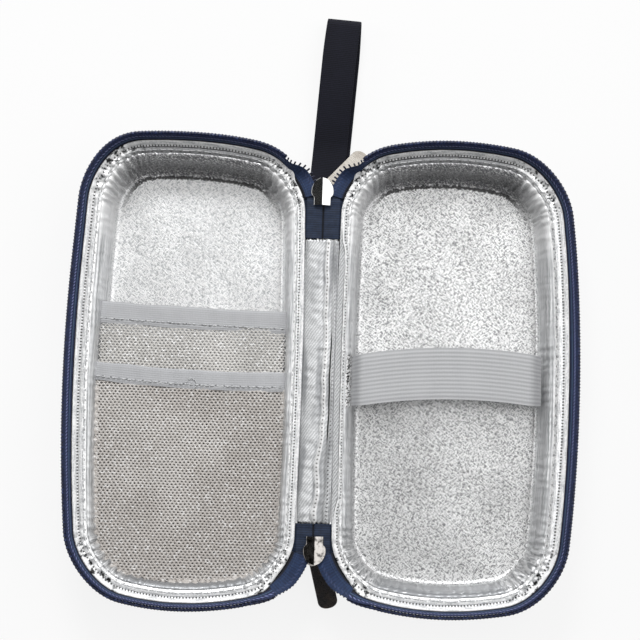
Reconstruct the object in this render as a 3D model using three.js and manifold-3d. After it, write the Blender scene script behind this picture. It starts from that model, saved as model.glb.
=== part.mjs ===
// An insulin cooling case lying open: two foil-lined trays of moulded foam joined by a soft spine,
// with a zipper round the rims, mesh pockets in the lid, an elastic strap in the base and a wrist loop.
// Millimetres, +Z up, +Y towards the wrist loop. The origin is the centre of the base tray's underside.
import * as THREE from "three";
import { mergeVertices } from "three/addons/utils/BufferGeometryUtils.js";
import Module from "manifold-3d";

const wasm = await Module();
wasm.setup();

// Driving dimensions
const clearance = 0.3; // between pieces that touch
const tray = {
  width: 97,
  length: 197,
  cornerRadius: 21,
  outerSideBow: 4.5, // how far a side draws in at its ends
  hingeSideBow: 1.5,
  endBow: 9,
  wallHeight: 22,
  draft: 3, // how far the wall leans in from the rim down to the floor round
  floorRound: 8,
  floorMargin: 2, // flat floor beside the round
};
const shellThickness = 1;
const foamThickness = 3.2;
const linerThickness = 0.7;
const linerRise = 1.4; // how far the liner's edge stands over the shell wall
const binding = { height: 1.7, shoulder: 0.8 }; // the foil roll over the rim
const spine = {
  width: 14,
  topInset: 40, // from the tray's end to the lining's end
  bottomInset: 34.7,
  lap: 3, // outer cloth beyond the lining
  clothThickness: 0.8,
};
const lining = { thickness: 0.7, foldHeight: 0.7, folds: 3, stepsPerFold: 4 };
const tape = { width: 6.3, thickness: 0.7, lift: 0.6 }; // lift: its underside over the shell wall's top
const tapeLean = { side: 48, end: 72, startShare: 0.38 }; // degrees over level, at mid side and at the ends
const coil = { width: 2.4, thickness: 1.2, gap: 0.45, roundShare: 0.25 }; // gap: off the tape, which twists
const webEndTurn = 60; // degrees round the hinge corner where the slack tape ends
const slider = {
  length: 12,
  topInset: 20.2, // from the tray's end to the slider's middle
  bottomInset: 22.2,
  neckHalfWidth: 3.6,
  widestHalfWidth: 4.8,
  plate: 0.8,
  ridge: 0.7,
  flange: 0.7,
  postWidth: 1.6,
  postLength: 1.8,
  postInset: 0.8, // from the mouth to the post
};
const crown = { width: 1.8, length: 6.6, wall: 0.8, room: 2.15 };
const pull = {
  length: 32,
  width: 8.6,
  thickness: 1.2,
  bar: 1.4,
  slotWidth: 6.4,
  slotLength: 4.2,
  topDroop: 25,
  bottomDroop: 35,
  topYaw: -39,
  bottomYaw: 14,
  tipSteps: 10,
};
const strap = {
  width: 15.2,
  thickness: 1.1,
  tabLength: 10,
  reach: 64, // past the tray's end
  slopeReach: 5.5, // past the tray's end, where the lower run meets the table
  openingBack: 6, // from there back to where the two runs part
  pressShare: 0.9, // how far apart the runs lie above that, of the thickness
  slopePower: 1.25,
  loopHeight: 8.4,
  tipRadius: 3.7,
  stepsPerPoint: 3,
  rootSteps: 12,
  lean: -4,
};
const elastic = { width: 22.5, thickness: 1, arch: 3.5, depth: 3, y: -1.5, steps: 10 }; // y from mid tray
const pocket = {
  depth: 3.6, // front net under the shell wall's top
  spacing: 1.4, // between the two nets
  netThickness: 0.6,
  bindingThickness: 1.2,
  frontY: 1.4, // top edges, from mid tray
  rearY: 28,
  frontBinding: 8.2,
  rearBinding: 9.4,
};
const net = { pitchX: 6.8, pitchY: 10.2, strand: 1.4, margin: 1.6 };

// Derived sizes
const halfWidth = tray.width / 2;
const halfLength = tray.length / 2;
const spineX = -(halfWidth + spine.width / 2);
const lidX = 2 * spineX;
const tapeZ = tray.wallHeight + tape.lift + tape.thickness / 2;
const coilBottom = tape.thickness / 2 + coil.thickness; // under the tape plane, where the two are one
const bindingTop = tray.wallHeight + clearance + binding.height;
const linerOuter = shellThickness + foamThickness + 2 * clearance;
const linerInner = linerOuter + linerThickness;
const linerTop = tray.wallHeight + linerRise;
const topSliderY = halfLength - slider.topInset;
const bottomSliderY = slider.bottomInset - halfLength;
const liningTopY = halfLength - spine.topInset;
const liningBottomY = spine.bottomInset - halfLength;
const turn = THREE.MathUtils.degToRad;

// Surfaces and solids
function flipped(indices) {
  const out = [];
  for (let i = 0; i < indices.length; i += 3) out.push(indices[i], indices[i + 2], indices[i + 1]);
  return out;
}

function signedVolume(points, indices) {
  let sum = 0;
  const cross = new THREE.Vector3();
  for (let i = 0; i < indices.length; i += 3) {
    cross.crossVectors(points[indices[i + 1]], points[indices[i + 2]]);
    sum += points[indices[i]].dot(cross);
  }
  return sum / 6;
}

function closedGeometry(points, indices) {
  const geometry = new THREE.BufferGeometry().setFromPoints(points);
  geometry.setIndex(signedVolume(points, indices) < 0 ? flipped(indices) : indices);
  return geometry;
}

// A closed body through rings of points. It is capped at both ends, or joined end to end where loop is
// true. capOutline is a plane copy of one ring, for cutting the caps into triangles.
function skin(rings, loop, capOutline) {
  const count = rings[0].length;
  const points = rings.flat();
  const indices = [];
  const spans = loop ? rings.length : rings.length - 1;
  for (let r = 0; r < spans; r++) {
    const a = r * count;
    const b = ((r + 1) % rings.length) * count;
    for (let i = 0; i < count; i++) {
      const j = (i + 1) % count;
      indices.push(a + i, a + j, b + j, a + i, b + j, b + i);
    }
  }
  if (!loop) {
    const faces = THREE.ShapeUtils.triangulateShape(capOutline, []);
    const turned = THREE.ShapeUtils.isClockWise(capOutline);
    const last = (rings.length - 1) * count;
    for (const [p, q, s] of faces) {
      const [u, v] = turned ? [s, q] : [q, s];
      indices.push(p, v, u, last + p, last + u, last + v);
    }
  }
  return closedGeometry(points, indices);
}

function solid(geometry) {
  const plain = geometry.index ? geometry.toNonIndexed() : geometry.clone();
  plain.deleteAttribute("normal");
  plain.deleteAttribute("uv");
  const merged = mergeVertices(plain);
  return new wasm.Manifold(
    new wasm.Mesh({
      numProp: 3,
      vertProperties: merged.attributes.position.array,
      triVerts: new Uint32Array(merged.index.array),
    }),
  );
}

function geometryOf(manifold) {
  const mesh = manifold.getMesh();
  const geometry = new THREE.BufferGeometry();
  geometry.setAttribute("position", new THREE.BufferAttribute(mesh.vertProperties.slice(), 3));
  geometry.setIndex(new THREE.BufferAttribute(mesh.triVerts.slice(), 1));
  return geometry;
}

function joined(...geometries) {
  return geometryOf(geometries.map(solid).reduce((a, b) => a.add(b)));
}

function box(x, y, z) {
  const [width, depth, height] = [x, y, z].map(([low, high]) => high - low);
  const geometry = new THREE.BoxGeometry(width, depth, height);
  return geometry.translate((x[0] + x[1]) / 2, (y[0] + y[1]) / 2, (z[0] + z[1]) / 2);
}

function extruded(shape, bottom, top) {
  const geometry = new THREE.ExtrudeGeometry(shape, { depth: top - bottom, bevelEnabled: false });
  return geometry.translate(0, 0, bottom);
}

// The rim outline, a rounded rectangle with bowed sides, run from mid hinge side towards +Y
const quarter = (Math.PI / 2) * tray.cornerRadius;
const sideRun = halfLength - tray.cornerRadius;
const endRun = tray.width - 2 * tray.cornerRadius;
const runs = [sideRun, quarter, endRun, quarter, 2 * sideRun, quarter, endRun, quarter, sideRun];
const perimeter = runs.reduce((a, b) => a + b);

function squareRim(distance) {
  const r = tray.cornerRadius;
  const cornerX = halfWidth - r;
  const arc = (x, y, angle) => [x + r * Math.cos(angle), y + r * Math.sin(angle)];
  const places = [
    (d) => [-halfWidth, d],
    (d) => arc(-cornerX, sideRun, Math.PI - d / r),
    (d) => [-cornerX + d, halfLength],
    (d) => arc(cornerX, sideRun, Math.PI / 2 - d / r),
    (d) => [halfWidth, sideRun - d],
    (d) => arc(cornerX, -sideRun, -d / r),
    (d) => [cornerX - d, -halfLength],
    (d) => arc(-cornerX, -sideRun, -Math.PI / 2 - d / r),
    (d) => [-halfWidth, -sideRun + d],
  ];
  let left = (distance + perimeter) % perimeter;
  let run = 0;
  while (run < runs.length - 1 && left > runs[run]) left -= runs[run++];
  return places[run](left);
}

function rimPoint(distance) {
  const [x, y] = squareRim(distance);
  const sideBow = x < 0 ? tray.hingeSideBow : tray.outerSideBow;
  return new THREE.Vector2(
    x * (1 - (sideBow / halfWidth) * (y / halfLength) ** 2),
    y * (1 - (tray.endBow / halfLength) * (x / halfWidth) ** 2),
  );
}

const probe = perimeter / 2000; // half the chord that gives the direction of the rim
function rimStation(distance) {
  const along = rimPoint(distance + probe).sub(rimPoint(distance - probe)).normalize();
  return { distance, point: rimPoint(distance), outward: new THREE.Vector2(-along.y, along.x) };
}

// Stations from one distance to another, close together round the corners
const cornerSteps = 7;
const sideSteps = 4;
const endSteps = 4;
const near = perimeter / 500; // stations closer than this to an end are left out
function stationsBetween(from, to) {
  const marks = [];
  let start = 0;
  runs.forEach((run) => {
    const steps = run === quarter ? cornerSteps : run === endRun ? endSteps : sideSteps;
    for (let i = 0; i < steps; i++) marks.push(start + (run * i) / steps);
    start += run;
  });
  const inner = marks.filter((mark) => mark > from + near && mark < to - near);
  return [from, ...inner, to].map(rimStation);
}
const fullRim = stationsBetween(0, perimeter).slice(0, -1);

function ring(inset, z) {
  return fullRim.map(
    ({ point, outward }) => new THREE.Vector3(point.x - outward.x * inset, point.y - outward.y * inset, z),
  );
}

// A tray layer: the wall's profile, from the floor to the rim, at two depths below the outer skin
const profileSteps = 3;
function wallProfile(depth, top) {
  const lines = [[tray.draft + tray.floorRound + tray.floorMargin, 0]];
  for (let i = 0; i <= profileSteps; i++) {
    const angle = (Math.PI / 2) * (1 - i / profileSteps);
    lines.push([
      tray.draft + tray.floorRound * (1 - Math.cos(angle)),
      tray.floorRound * (1 - Math.sin(angle)),
    ]);
  }
  lines.push([0, tray.wallHeight]);
  const normals = lines.slice(1).map(([x, z], i) => {
    const along = new THREE.Vector2(x - lines[i][0], z - lines[i][1]).normalize();
    return new THREE.Vector2(along.y, -along.x);
  });
  const moved = lines.map(([x, z], i) => {
    const before = normals[Math.max(i - 1, 0)];
    const after = normals[Math.min(i, normals.length - 1)];
    const mitre = before.clone().add(after).divideScalar(1 + before.dot(after));
    return [x + mitre.x * depth, z + mitre.y * depth];
  });
  const wallTop = moved[moved.length - 1];
  const slope = tray.draft / (tray.wallHeight - tray.floorRound);
  moved[moved.length - 1] = [wallTop[0] - (top - wallTop[1]) * slope, top];
  return moved;
}

function trayLayer(outerDepth, innerDepth, top) {
  const outside = wallProfile(outerDepth, top);
  const inside = wallProfile(innerDepth, top).reverse();
  const rings = [...outside, ...inside].map(([inset, z]) => ring(inset, z));
  const floor = rings[0].map(({ x, y }) => new THREE.Vector2(x, y));
  return skin(rings, false, floor);
}

// The inside wall's inset from the rim at a height
function innerWallInset(z) {
  const profile = wallProfile(linerInner, linerTop);
  for (let i = profile.length - 1; i > 0; i--) {
    const [x0, z0] = profile[i - 1];
    const [x1, z1] = profile[i];
    if (z >= z0) return x0 + ((x1 - x0) * (z - z0)) / (z1 - z0);
  }
  return profile[0][0];
}

function rimBinding() {
  const bottom = tray.wallHeight + clearance;
  const inner = linerOuter - clearance;
  const s = binding.shoulder;
  const profile = [
    [0, bottom],
    [0, bindingTop - s],
    [s, bindingTop],
    [inner - s, bindingTop],
    [inner, bindingTop - s],
    [inner, bottom],
  ];
  const rings = fullRim.map(({ point, outward }) =>
    profile.map(
      ([inset, z]) => new THREE.Vector3(point.x - outward.x * inset, point.y - outward.y * inset, z),
    ),
  );
  return skin(rings, true);
}

// The zipper tape stands out from the rim, level at the hinge side and steeper round the other three
const webEnd = sideRun + tray.cornerRadius * turn(webEndTurn);

// The closed chain ends, and the slack tape starts, inside the slider's neck
function chainEnd(sliderY) {
  return Math.abs(sliderY) + clearance - slider.postInset - slider.postLength;
}

// Where the rim passes that place, by halving
function webStart() {
  const place = chainEnd(topSliderY) + clearance;
  let low = 0;
  let high = sideRun + quarter;
  while (high - low > clearance / 100) {
    const middle = (low + high) / 2;
    if (rimPoint(middle).y < place) low = middle;
    else high = middle;
  }
  return low;
}

function leanAt(distance) {
  const mirrored = Math.min(distance, perimeter - distance);
  const cornerTurn = THREE.MathUtils.clamp((mirrored - sideRun) / quarter, 0, 1);
  if (mirrored < sideRun + quarter) {
    return turn(tapeLean.end) * THREE.MathUtils.smoothstep(cornerTurn, tapeLean.startShare, 1);
  }
  const share = (rimPoint(mirrored).y / halfLength) ** 2;
  return turn(THREE.MathUtils.lerp(tapeLean.side, tapeLean.end, Math.min(share, 1)));
}

// Points of a section, given as distances along the tape and off its inner face, set at a station
function tapeSection(station, profile) {
  const lean = leanAt(station.distance);
  const root = clearance + tape.thickness / 2;
  return profile.map(([along, off]) => {
    const out = root + along * Math.cos(lean) - off * Math.sin(lean);
    const z = tapeZ + along * Math.sin(lean) + off * Math.cos(lean);
    return new THREE.Vector3(
      station.point.x + station.outward.x * out,
      station.point.y + station.outward.y * out,
      z,
    );
  });
}

function alongTape(from, to, profile) {
  const rings = stationsBetween(from, to).map((station) => tapeSection(station, profile));
  return skin(
    rings,
    false,
    profile.map(([a, b]) => new THREE.Vector2(a, b)),
  );
}

const tapeProfile = [
  [0, tape.thickness / 2],
  [tape.width, tape.thickness / 2],
  [tape.width, -tape.thickness / 2],
  [tape.width - coil.width, -tape.thickness / 2],
  [0, -tape.thickness / 2],
];
const coilTop = -tape.thickness / 2 - coil.gap;
const coilProfile = [
  [tape.width - coil.width, coilTop],
  [tape.width, coilTop],
  [tape.width, coilTop - coil.thickness / 2],
  [tape.width - coil.width * coil.roundShare, coilTop - coil.thickness],
  [tape.width - coil.width * (1 - coil.roundShare), coilTop - coil.thickness],
  [tape.width - coil.width, coilTop - coil.thickness / 2],
];
const webProfile = [
  [0, tape.thickness / 2],
  [tape.width, tape.thickness / 2],
  [tape.width, -coilBottom],
  [tape.width - coil.width, -coilBottom],
  [tape.width - coil.width, -tape.thickness / 2],
  [0, -tape.thickness / 2],
];

// Two nets of diamond holes span the lid under its rim, each with a bound upper edge. The lid is a tray
// turned half round, and so is the outline here.
function insideShape(inset, top, bottom) {
  const outline = ring(inset, 0).map(({ x, y }) => [-x, THREE.MathUtils.clamp(-y, bottom, top)]);
  const points = outline.filter(
    ([x, y], i) => Math.hypot(x - outline.at(i - 1)[0], y - outline.at(i - 1)[1]) > clearance,
  );
  return new THREE.Shape(points.map(([x, y]) => new THREE.Vector2(x, y)));
}

// A net is level across, so it is cut to the inner outline at each height it spans
function netPlate(top, holesDownTo, z) {
  const inset = innerWallInset(z) + clearance;
  const shape = insideShape(inset, top, -halfLength);
  const rowStep = net.pitchY / 2;
  const reachX = (net.pitchX - net.strand) / 2;
  const reachY = (net.pitchY - net.strand) / 2;
  const inner = insideShape(inset + net.margin, top - net.margin, -halfLength).getPoints();
  const rows = Math.floor((top - net.margin - holesDownTo) / rowStep);
  const half = Math.ceil(halfWidth / net.pitchX);
  for (let row = 1; row < rows; row++) {
    const y = top - net.margin - row * rowStep;
    for (let column = -half; column <= half; column++) {
      const x = (column + (row % 2) / 2) * net.pitchX;
      const corners = [
        [x + reachX, y],
        [x, y + reachY],
        [x - reachX, y],
        [x, y - reachY],
      ];
      if (corners.every(([px, py]) => contains(inner, px, py))) {
        shape.holes.push(new THREE.Path(corners.map(([px, py]) => new THREE.Vector2(px, py))));
      }
    }
  }
  return extruded(shape, z - pocket.netThickness / 2, z + pocket.netThickness / 2);
}

function contains(outline, x, y) {
  let inside = false;
  outline.forEach((a, i) => {
    const b = outline.at(i - 1);
    if (a.y > y !== b.y > y && x < ((b.x - a.x) * (y - a.y)) / (b.y - a.y) + a.x) inside = !inside;
  });
  return inside;
}

function pocketBinding(top, width, z) {
  const inset = innerWallInset(z - pocket.bindingThickness / 2) + clearance;
  const shape = insideShape(inset, top, top - width);
  return extruded(shape, z - pocket.bindingThickness / 2, z + pocket.bindingThickness / 2);
}

// The elastic strap crosses the base tray and arches towards the wrist loop
function elasticStrap() {
  const z = tray.wallHeight - elastic.depth;
  const end = halfWidth - innerWallInset(z - elastic.thickness) - clearance;
  const edge = (offset) =>
    Array.from({ length: elastic.steps + 1 }, (_, i) => {
      const share = (2 * i) / elastic.steps - 1;
      return new THREE.Vector2(end * share, elastic.y + offset + elastic.arch * (1 - share ** 2));
    });
  const shape = new THREE.Shape([...edge(-elastic.width / 2), ...edge(elastic.width / 2).reverse()]);
  return extruded(shape, z - elastic.thickness, z);
}

// The spine between the trays: plain cloth below, folded foil lining above
function spineCloth() {
  const x = spine.width / 2 - clearance;
  const top = tapeZ - coilBottom - clearance;
  return box(
    [-x, x],
    [liningBottomY - spine.lap, liningTopY + spine.lap],
    [top - spine.clothThickness, top],
  );
}

function spineLining() {
  const steps = lining.folds * lining.stepsPerFold;
  const halfSpan = spine.width / 2 - clearance;
  const middle = bindingTop - lining.thickness - lining.foldHeight;
  const line = (offset) =>
    Array.from({ length: steps + 1 }, (_, i) => {
      const wave = -Math.cos((2 * Math.PI * lining.folds * i) / steps);
      return new THREE.Vector2(
        halfSpan * ((2 * i) / steps - 1),
        middle + offset + (lining.foldHeight * (1 - wave)) / 2,
      );
    });
  const section = [...line(0), ...line(lining.thickness).reverse()];
  const rings = [liningBottomY, liningTopY].map((y) =>
    section.map((p) => new THREE.Vector3(p.x, y, p.y)),
  );
  return skin(rings, false, section);
}

// A short stretch of closed zipper between the spine's end and a slider, for y above zero
const chainSteps = 4;
function closedChain(fromY, toY) {
  const edge = Array.from({ length: chainSteps + 1 }, (_, i) => {
    const y = THREE.MathUtils.lerp(fromY, toY, i / chainSteps);
    const bow = tray.hingeSideBow * (y / halfLength) ** 2;
    return new THREE.Vector2(spine.width / 2 + bow - clearance - tape.thickness / 2, y);
  });
  const other = edge.map(({ x, y }) => new THREE.Vector2(-x, y)).reverse();
  const plate = extruded(new THREE.Shape([...edge, ...other]), -tape.thickness / 2, tape.thickness / 2);
  const rows = box([-coil.width, coil.width], [fromY, toY], [-coilBottom, 0]);
  return joined(plate, rows);
}

// Slider, its mouth towards +Y, about the middle of the chain in the tape plane
const sliderShares = [
  [-1, 0],
  [-0.4, 0],
  [-0.1, 0.5],
  [0.25, 1],
  [0.6, 0.7],
  [0.86, -0.4],
  [1, -1.7],
]; // of half the length, and of the step from neck to widest half width
function sliderPlate(bottom, top, ridge) {
  const sections = sliderShares.map(([lengthShare, widthShare]) => {
    const y = (lengthShare * slider.length) / 2;
    const x = slider.neckHalfWidth + widthShare * (slider.widestHalfWidth - slider.neckHalfWidth);
    return [
      [-x, bottom],
      [x, bottom],
      [x, top],
      [0, top + ridge],
      [-x, top],
    ].map(([px, pz]) => new THREE.Vector3(px, y, pz));
  });
  return skin(
    sections,
    false,
    sections[0].map((p) => new THREE.Vector2(p.x, p.z)),
  );
}

const backPlate = tape.thickness / 2 + clearance;
const frontPlate = -coilBottom - clearance;
function sliderBody() {
  const back = sliderPlate(backPlate, backPlate + slider.plate, slider.ridge);
  const front = sliderPlate(frontPlate - slider.plate, frontPlate, 0);
  const postY = slider.length / 2 - slider.postInset;
  const post = box(
    [-slider.postWidth / 2, slider.postWidth / 2],
    [postY - slider.postLength, postY],
    [frontPlate - slider.plate / 2, backPlate + slider.plate / 2],
  );
  const flangeEnd = sliderShares[1][0] * (slider.length / 2);
  const flanges = [-1, 1].map((side) => {
    const edges = [side * slider.neckHalfWidth, side * (slider.neckHalfWidth - slider.flange)];
    return box(
      edges.sort((a, b) => a - b),
      [-slider.length / 2, flangeEnd],
      [frontPlate - slider.plate / 2, -tape.thickness / 2 - clearance],
    );
  });
  return joined(back, front, post, ...flanges);
}

// The crown under the front plate, an arch that the pull's bar runs through
const crownTop = frontPlate - slider.plate - clearance;
const barZ = crownTop - crown.room / 2;
function sliderCrown() {
  const outer = crown.length / 2;
  const inner = outer - crown.wall;
  const shape = new THREE.Shape(
    [
      [-outer, crownTop],
      [-outer, crownTop - crown.room],
      [-inner, crownTop - crown.room - crown.wall],
      [inner, crownTop - crown.room - crown.wall],
      [outer, crownTop - crown.room],
      [outer, crownTop],
      [inner, crownTop],
      [inner, crownTop - crown.room],
      [-inner, crownTop - crown.room],
      [-inner, crownTop],
    ].map(([y, z]) => new THREE.Vector2(y, z)),
  );
  const geometry = extruded(shape, -crown.width / 2, crown.width / 2);
  return geometry.rotateX(Math.PI / 2).rotateZ(Math.PI / 2);
}

// The pull tab, flat, its bar on the origin and its tip towards +Y
function pullTab() {
  const half = pull.width / 2;
  const back = -pull.bar / 2;
  const shape = new THREE.Shape();
  shape.moveTo(-half, back);
  shape.lineTo(half, back);
  shape.lineTo(half, pull.length - half);
  shape.absarc(0, pull.length - half, half, 0, Math.PI, false);
  shape.lineTo(-half, back);
  const slot = new THREE.Path();
  const slotHalf = pull.slotWidth / 2;
  slot.moveTo(-slotHalf, pull.bar / 2);
  slot.lineTo(-slotHalf, pull.bar / 2 + pull.slotLength);
  slot.lineTo(slotHalf, pull.bar / 2 + pull.slotLength);
  slot.lineTo(slotHalf, pull.bar / 2);
  slot.lineTo(-slotHalf, pull.bar / 2);
  shape.holes.push(slot);
  const geometry = new THREE.ExtrudeGeometry(shape, {
    depth: pull.thickness,
    bevelEnabled: false,
    curveSegments: pull.tipSteps,
  });
  return geometry.translate(0, 0, -pull.thickness / 2);
}

// The wrist strap: one webbing, out along the table, round the tip and back to the root
const rootZ = tapeZ - coilBottom - clearance - spine.clothThickness - clearance - strap.thickness;
const rootY = liningTopY + spine.lap;
const tipY = halfLength + strap.reach;
const slopeFootY = halfLength + strap.slopeReach;
function strapRun(points) {
  const curve = new THREE.CatmullRomCurve3(points.map(([y, z]) => new THREE.Vector3(0, y, z)));
  const half = strap.thickness / 2;
  const samples = curve.getPoints(strap.stepsPerPoint * (points.length - 1));
  for (const p of samples) p.z = Math.max(p.z, half);
  const rings = samples.map((p, i) => {
    const along = samples[Math.min(i + 1, samples.length - 1)].clone().sub(samples[Math.max(i - 1, 0)]);
    const up = new THREE.Vector3(0, -along.z, along.y).normalize().multiplyScalar(half);
    const side = new THREE.Vector3(strap.width / 2, 0, 0);
    return [
      p.clone().sub(side).sub(up),
      p.clone().add(side).sub(up),
      p.clone().add(side).add(up),
      p.clone().sub(side).add(up),
    ];
  });
  const outline = [
    [-1, -1],
    [1, -1],
    [1, 1],
    [-1, 1],
  ].map(([a, b]) => new THREE.Vector2(a, b));
  return skin(rings, false, outline);
}

const slopeShares = [0, 0.2, 0.43, 0.66, 0.86]; // of the way from the root to the slope's foot
const tipTurns = [-45, 0, 45, 90];
const openingShares = { crest: 0.75, sag: 0.45, rise: 0.2 }; // of the way from the opening to the tip
function wristStrap() {
  const half = strap.thickness / 2;
  const apart = strap.thickness * strap.pressShare;
  const slope = (y) => {
    const share = (y - rootY) / (slopeFootY - rootY);
    return half + (rootZ - strap.thickness) * (1 - share) ** strap.slopePower;
  };
  const descent = slopeShares.map((share) => rootY + share * (slopeFootY - rootY));
  const tipCentre = tipY - half - strap.tipRadius;
  const lower = [
    ...descent.map((y) => [y, slope(y)]),
    [slopeFootY, half],
    [(slopeFootY + tipCentre) / 2, half],
    [tipCentre, half],
  ];
  const tip = tipTurns.map((angle) => [
    tipCentre + strap.tipRadius * Math.cos(turn(angle)),
    half + strap.tipRadius * (1 + Math.sin(turn(angle))),
  ]);
  const openingY = slopeFootY - strap.openingBack;
  const span = tipCentre - openingY;
  const upper = [
    [openingY + openingShares.crest * span, strap.loopHeight],
    [openingY + openingShares.sag * span, strap.loopHeight - strap.thickness],
    [openingY + openingShares.rise * span, strap.loopHeight / 2 + half],
    [openingY, slope(openingY) + apart],
    ...descent
      .slice(0, -1)
      .reverse()
      .map((y) => [y, slope(y) + apart]),
  ];
  const end = new THREE.CylinderGeometry(strap.thickness, strap.thickness, strap.width, strap.rootSteps);
  end.rotateZ(Math.PI / 2).translate(0, rootY, rootZ);
  return joined(strapRun([...lower, ...tip]), strapRun([tip.at(-1), ...upper]), end);
}

function strapTab() {
  const x = spine.width / 2 - clearance;
  const end = rootY - strap.thickness - clearance - (strap.width / 2) * Math.sin(turn(-strap.lean));
  return box([-x, x], [end - strap.tabLength, end], [rootZ - strap.thickness, rootZ + strap.thickness]);
}

// Materials
const surface = (color, roughness, metalness) =>
  new THREE.MeshStandardMaterial({ color, roughness, metalness });
const cloth = surface(0x24324f, 0.85, 0);
const foam = surface(0xd9dadb, 0.95, 0);
const foil = surface(0xc4c6c9, 0.35, 0.6);
const foilTwill = surface(0xcfd1d4, 0.4, 0.55);
const navyTape = surface(0x27406b, 0.8, 0);
const navyCoil = surface(0x1d3054, 0.45, 0);
const meshCloth = surface(0xa9a199, 0.8, 0);
const greyBinding = surface(0xa4a5a8, 0.8, 0);
const greyElastic = surface(0xbdbec2, 0.85, 0);
const nickel = surface(0xb9b8ba, 0.15, 1);
const darkNickel = surface(0x4b4845, 0.2, 1);
const webbing = surface(0x16182a, 0.8, 0);

function piece(parent, name, geometry, material) {
  const mesh = new THREE.Mesh(geometry, material);
  mesh.name = name;
  parent.add(mesh);
  return mesh;
}

// One tray with its zipper half. plusY and minusY name its two ends.
function half(name, plusY, minusY) {
  const group = new THREE.Group();
  const foamOuter = shellThickness + clearance;
  const coreTop = tray.wallHeight;
  piece(group, `${name}_outer_shell`, trayLayer(0, shellThickness, coreTop), cloth);
  piece(group, `${name}_insulation_foam`, trayLayer(foamOuter, foamOuter + foamThickness, coreTop), foam);
  piece(group, `${name}_foil_liner`, trayLayer(linerOuter, linerInner, linerTop), foil);
  piece(group, `${name}_rim_binding`, rimBinding(), foilTwill);
  const start = webStart();
  const rigid = [webEnd + clearance, perimeter - webEnd - clearance];
  piece(group, `${name}_zipper_tape`, alongTape(...rigid, tapeProfile), navyTape);
  piece(group, `${name}_zipper_coil`, alongTape(...rigid, coilProfile), navyCoil);
  piece(group, `${name}_zipper_web_${plusY}`, alongTape(start, webEnd, webProfile), navyTape);
  const far = [perimeter - webEnd, perimeter - start];
  piece(group, `${name}_zipper_web_${minusY}`, alongTape(...far, webProfile), navyTape);
  return group;
}

const root = new THREE.Group();

const base = half("base", "top", "bottom");
piece(base, "elastic_strap", elasticStrap(), greyElastic);
root.add(base);

const lid = half("lid", "bottom", "top");
lid.position.x = lidX;
lid.rotation.z = Math.PI;
root.add(lid);

const pockets = new THREE.Group();
pockets.position.x = lidX;
const frontNetZ = tray.wallHeight - pocket.depth;
const rearNetZ = frontNetZ - pocket.spacing - pocket.netThickness;
const frontNetTop = pocket.frontY - pocket.frontBinding - clearance;
const rearNetTop = pocket.rearY - pocket.rearBinding - clearance;
piece(
  pockets,
  "front_pocket_binding",
  pocketBinding(pocket.frontY, pocket.frontBinding, frontNetZ),
  greyBinding,
);
piece(pockets, "front_pocket_mesh", netPlate(frontNetTop, -halfLength, frontNetZ), meshCloth);
piece(
  pockets,
  "rear_pocket_binding",
  pocketBinding(pocket.rearY, pocket.rearBinding, rearNetZ),
  greyBinding,
);
piece(pockets, "rear_pocket_mesh", netPlate(rearNetTop, frontNetTop, rearNetZ), meshCloth);
root.add(pockets);

const spineGroup = new THREE.Group();
spineGroup.position.x = spineX;
piece(spineGroup, "spine_outer_cloth", spineCloth(), cloth);
piece(spineGroup, "spine_foil_lining", spineLining(), foilTwill);
piece(spineGroup, "wrist_strap_tab", strapTab(), webbing);
const wrist = piece(spineGroup, "wrist_strap", wristStrap().translate(0, -rootY, 0), webbing);
wrist.position.y = rootY;
wrist.rotation.z = turn(strap.lean);
root.add(spineGroup);

for (const [end, centre, liningEnd, yaw, droop] of [
  ["top", topSliderY, liningTopY, pull.topYaw, pull.topDroop],
  ["bottom", bottomSliderY, liningBottomY, pull.bottomYaw, pull.bottomDroop],
]) {
  const outward = Math.sign(centre);
  const zip = new THREE.Group();
  zip.position.set(spineX, 0, tapeZ);
  if (outward < 0) zip.rotation.z = Math.PI;
  const chain = closedChain(Math.abs(liningEnd) + clearance, chainEnd(centre));
  piece(zip, `closed_chain_${end}`, chain, navyTape);
  const body = piece(zip, `${end}_slider_body`, sliderBody(), nickel);
  const arch = piece(zip, `${end}_slider_crown`, sliderCrown(), nickel);
  const tab = piece(zip, `${end}_pull_tab`, pullTab().rotateX(-turn(droop)), darkNickel);
  body.position.y = Math.abs(centre);
  arch.position.y = Math.abs(centre);
  tab.position.set(0, Math.abs(centre), barZ);
  tab.rotation.z = turn(yaw);
  root.add(zip);
}

export default root;
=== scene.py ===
"""An insulin cooling case lying open, seen from above. Sizes are in millimetres until a mesh is made."""
import math

import bmesh
import bpy
import numpy as np
from mathutils import Matrix, Vector


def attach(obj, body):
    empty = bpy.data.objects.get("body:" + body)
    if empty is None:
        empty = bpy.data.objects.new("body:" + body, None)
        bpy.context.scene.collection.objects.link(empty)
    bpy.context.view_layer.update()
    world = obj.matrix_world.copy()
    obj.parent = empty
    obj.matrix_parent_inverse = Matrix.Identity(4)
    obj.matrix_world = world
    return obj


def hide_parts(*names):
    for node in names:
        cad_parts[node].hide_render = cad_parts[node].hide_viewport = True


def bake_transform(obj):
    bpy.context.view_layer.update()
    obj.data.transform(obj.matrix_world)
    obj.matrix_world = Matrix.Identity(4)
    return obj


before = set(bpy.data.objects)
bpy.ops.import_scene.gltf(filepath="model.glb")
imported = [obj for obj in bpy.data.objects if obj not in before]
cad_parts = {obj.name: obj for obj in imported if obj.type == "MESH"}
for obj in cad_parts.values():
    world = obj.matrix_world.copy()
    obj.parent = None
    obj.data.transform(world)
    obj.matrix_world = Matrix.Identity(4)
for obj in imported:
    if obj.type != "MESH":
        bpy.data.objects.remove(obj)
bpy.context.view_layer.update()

MM = 0.001
COARSE = 1.0

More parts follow.
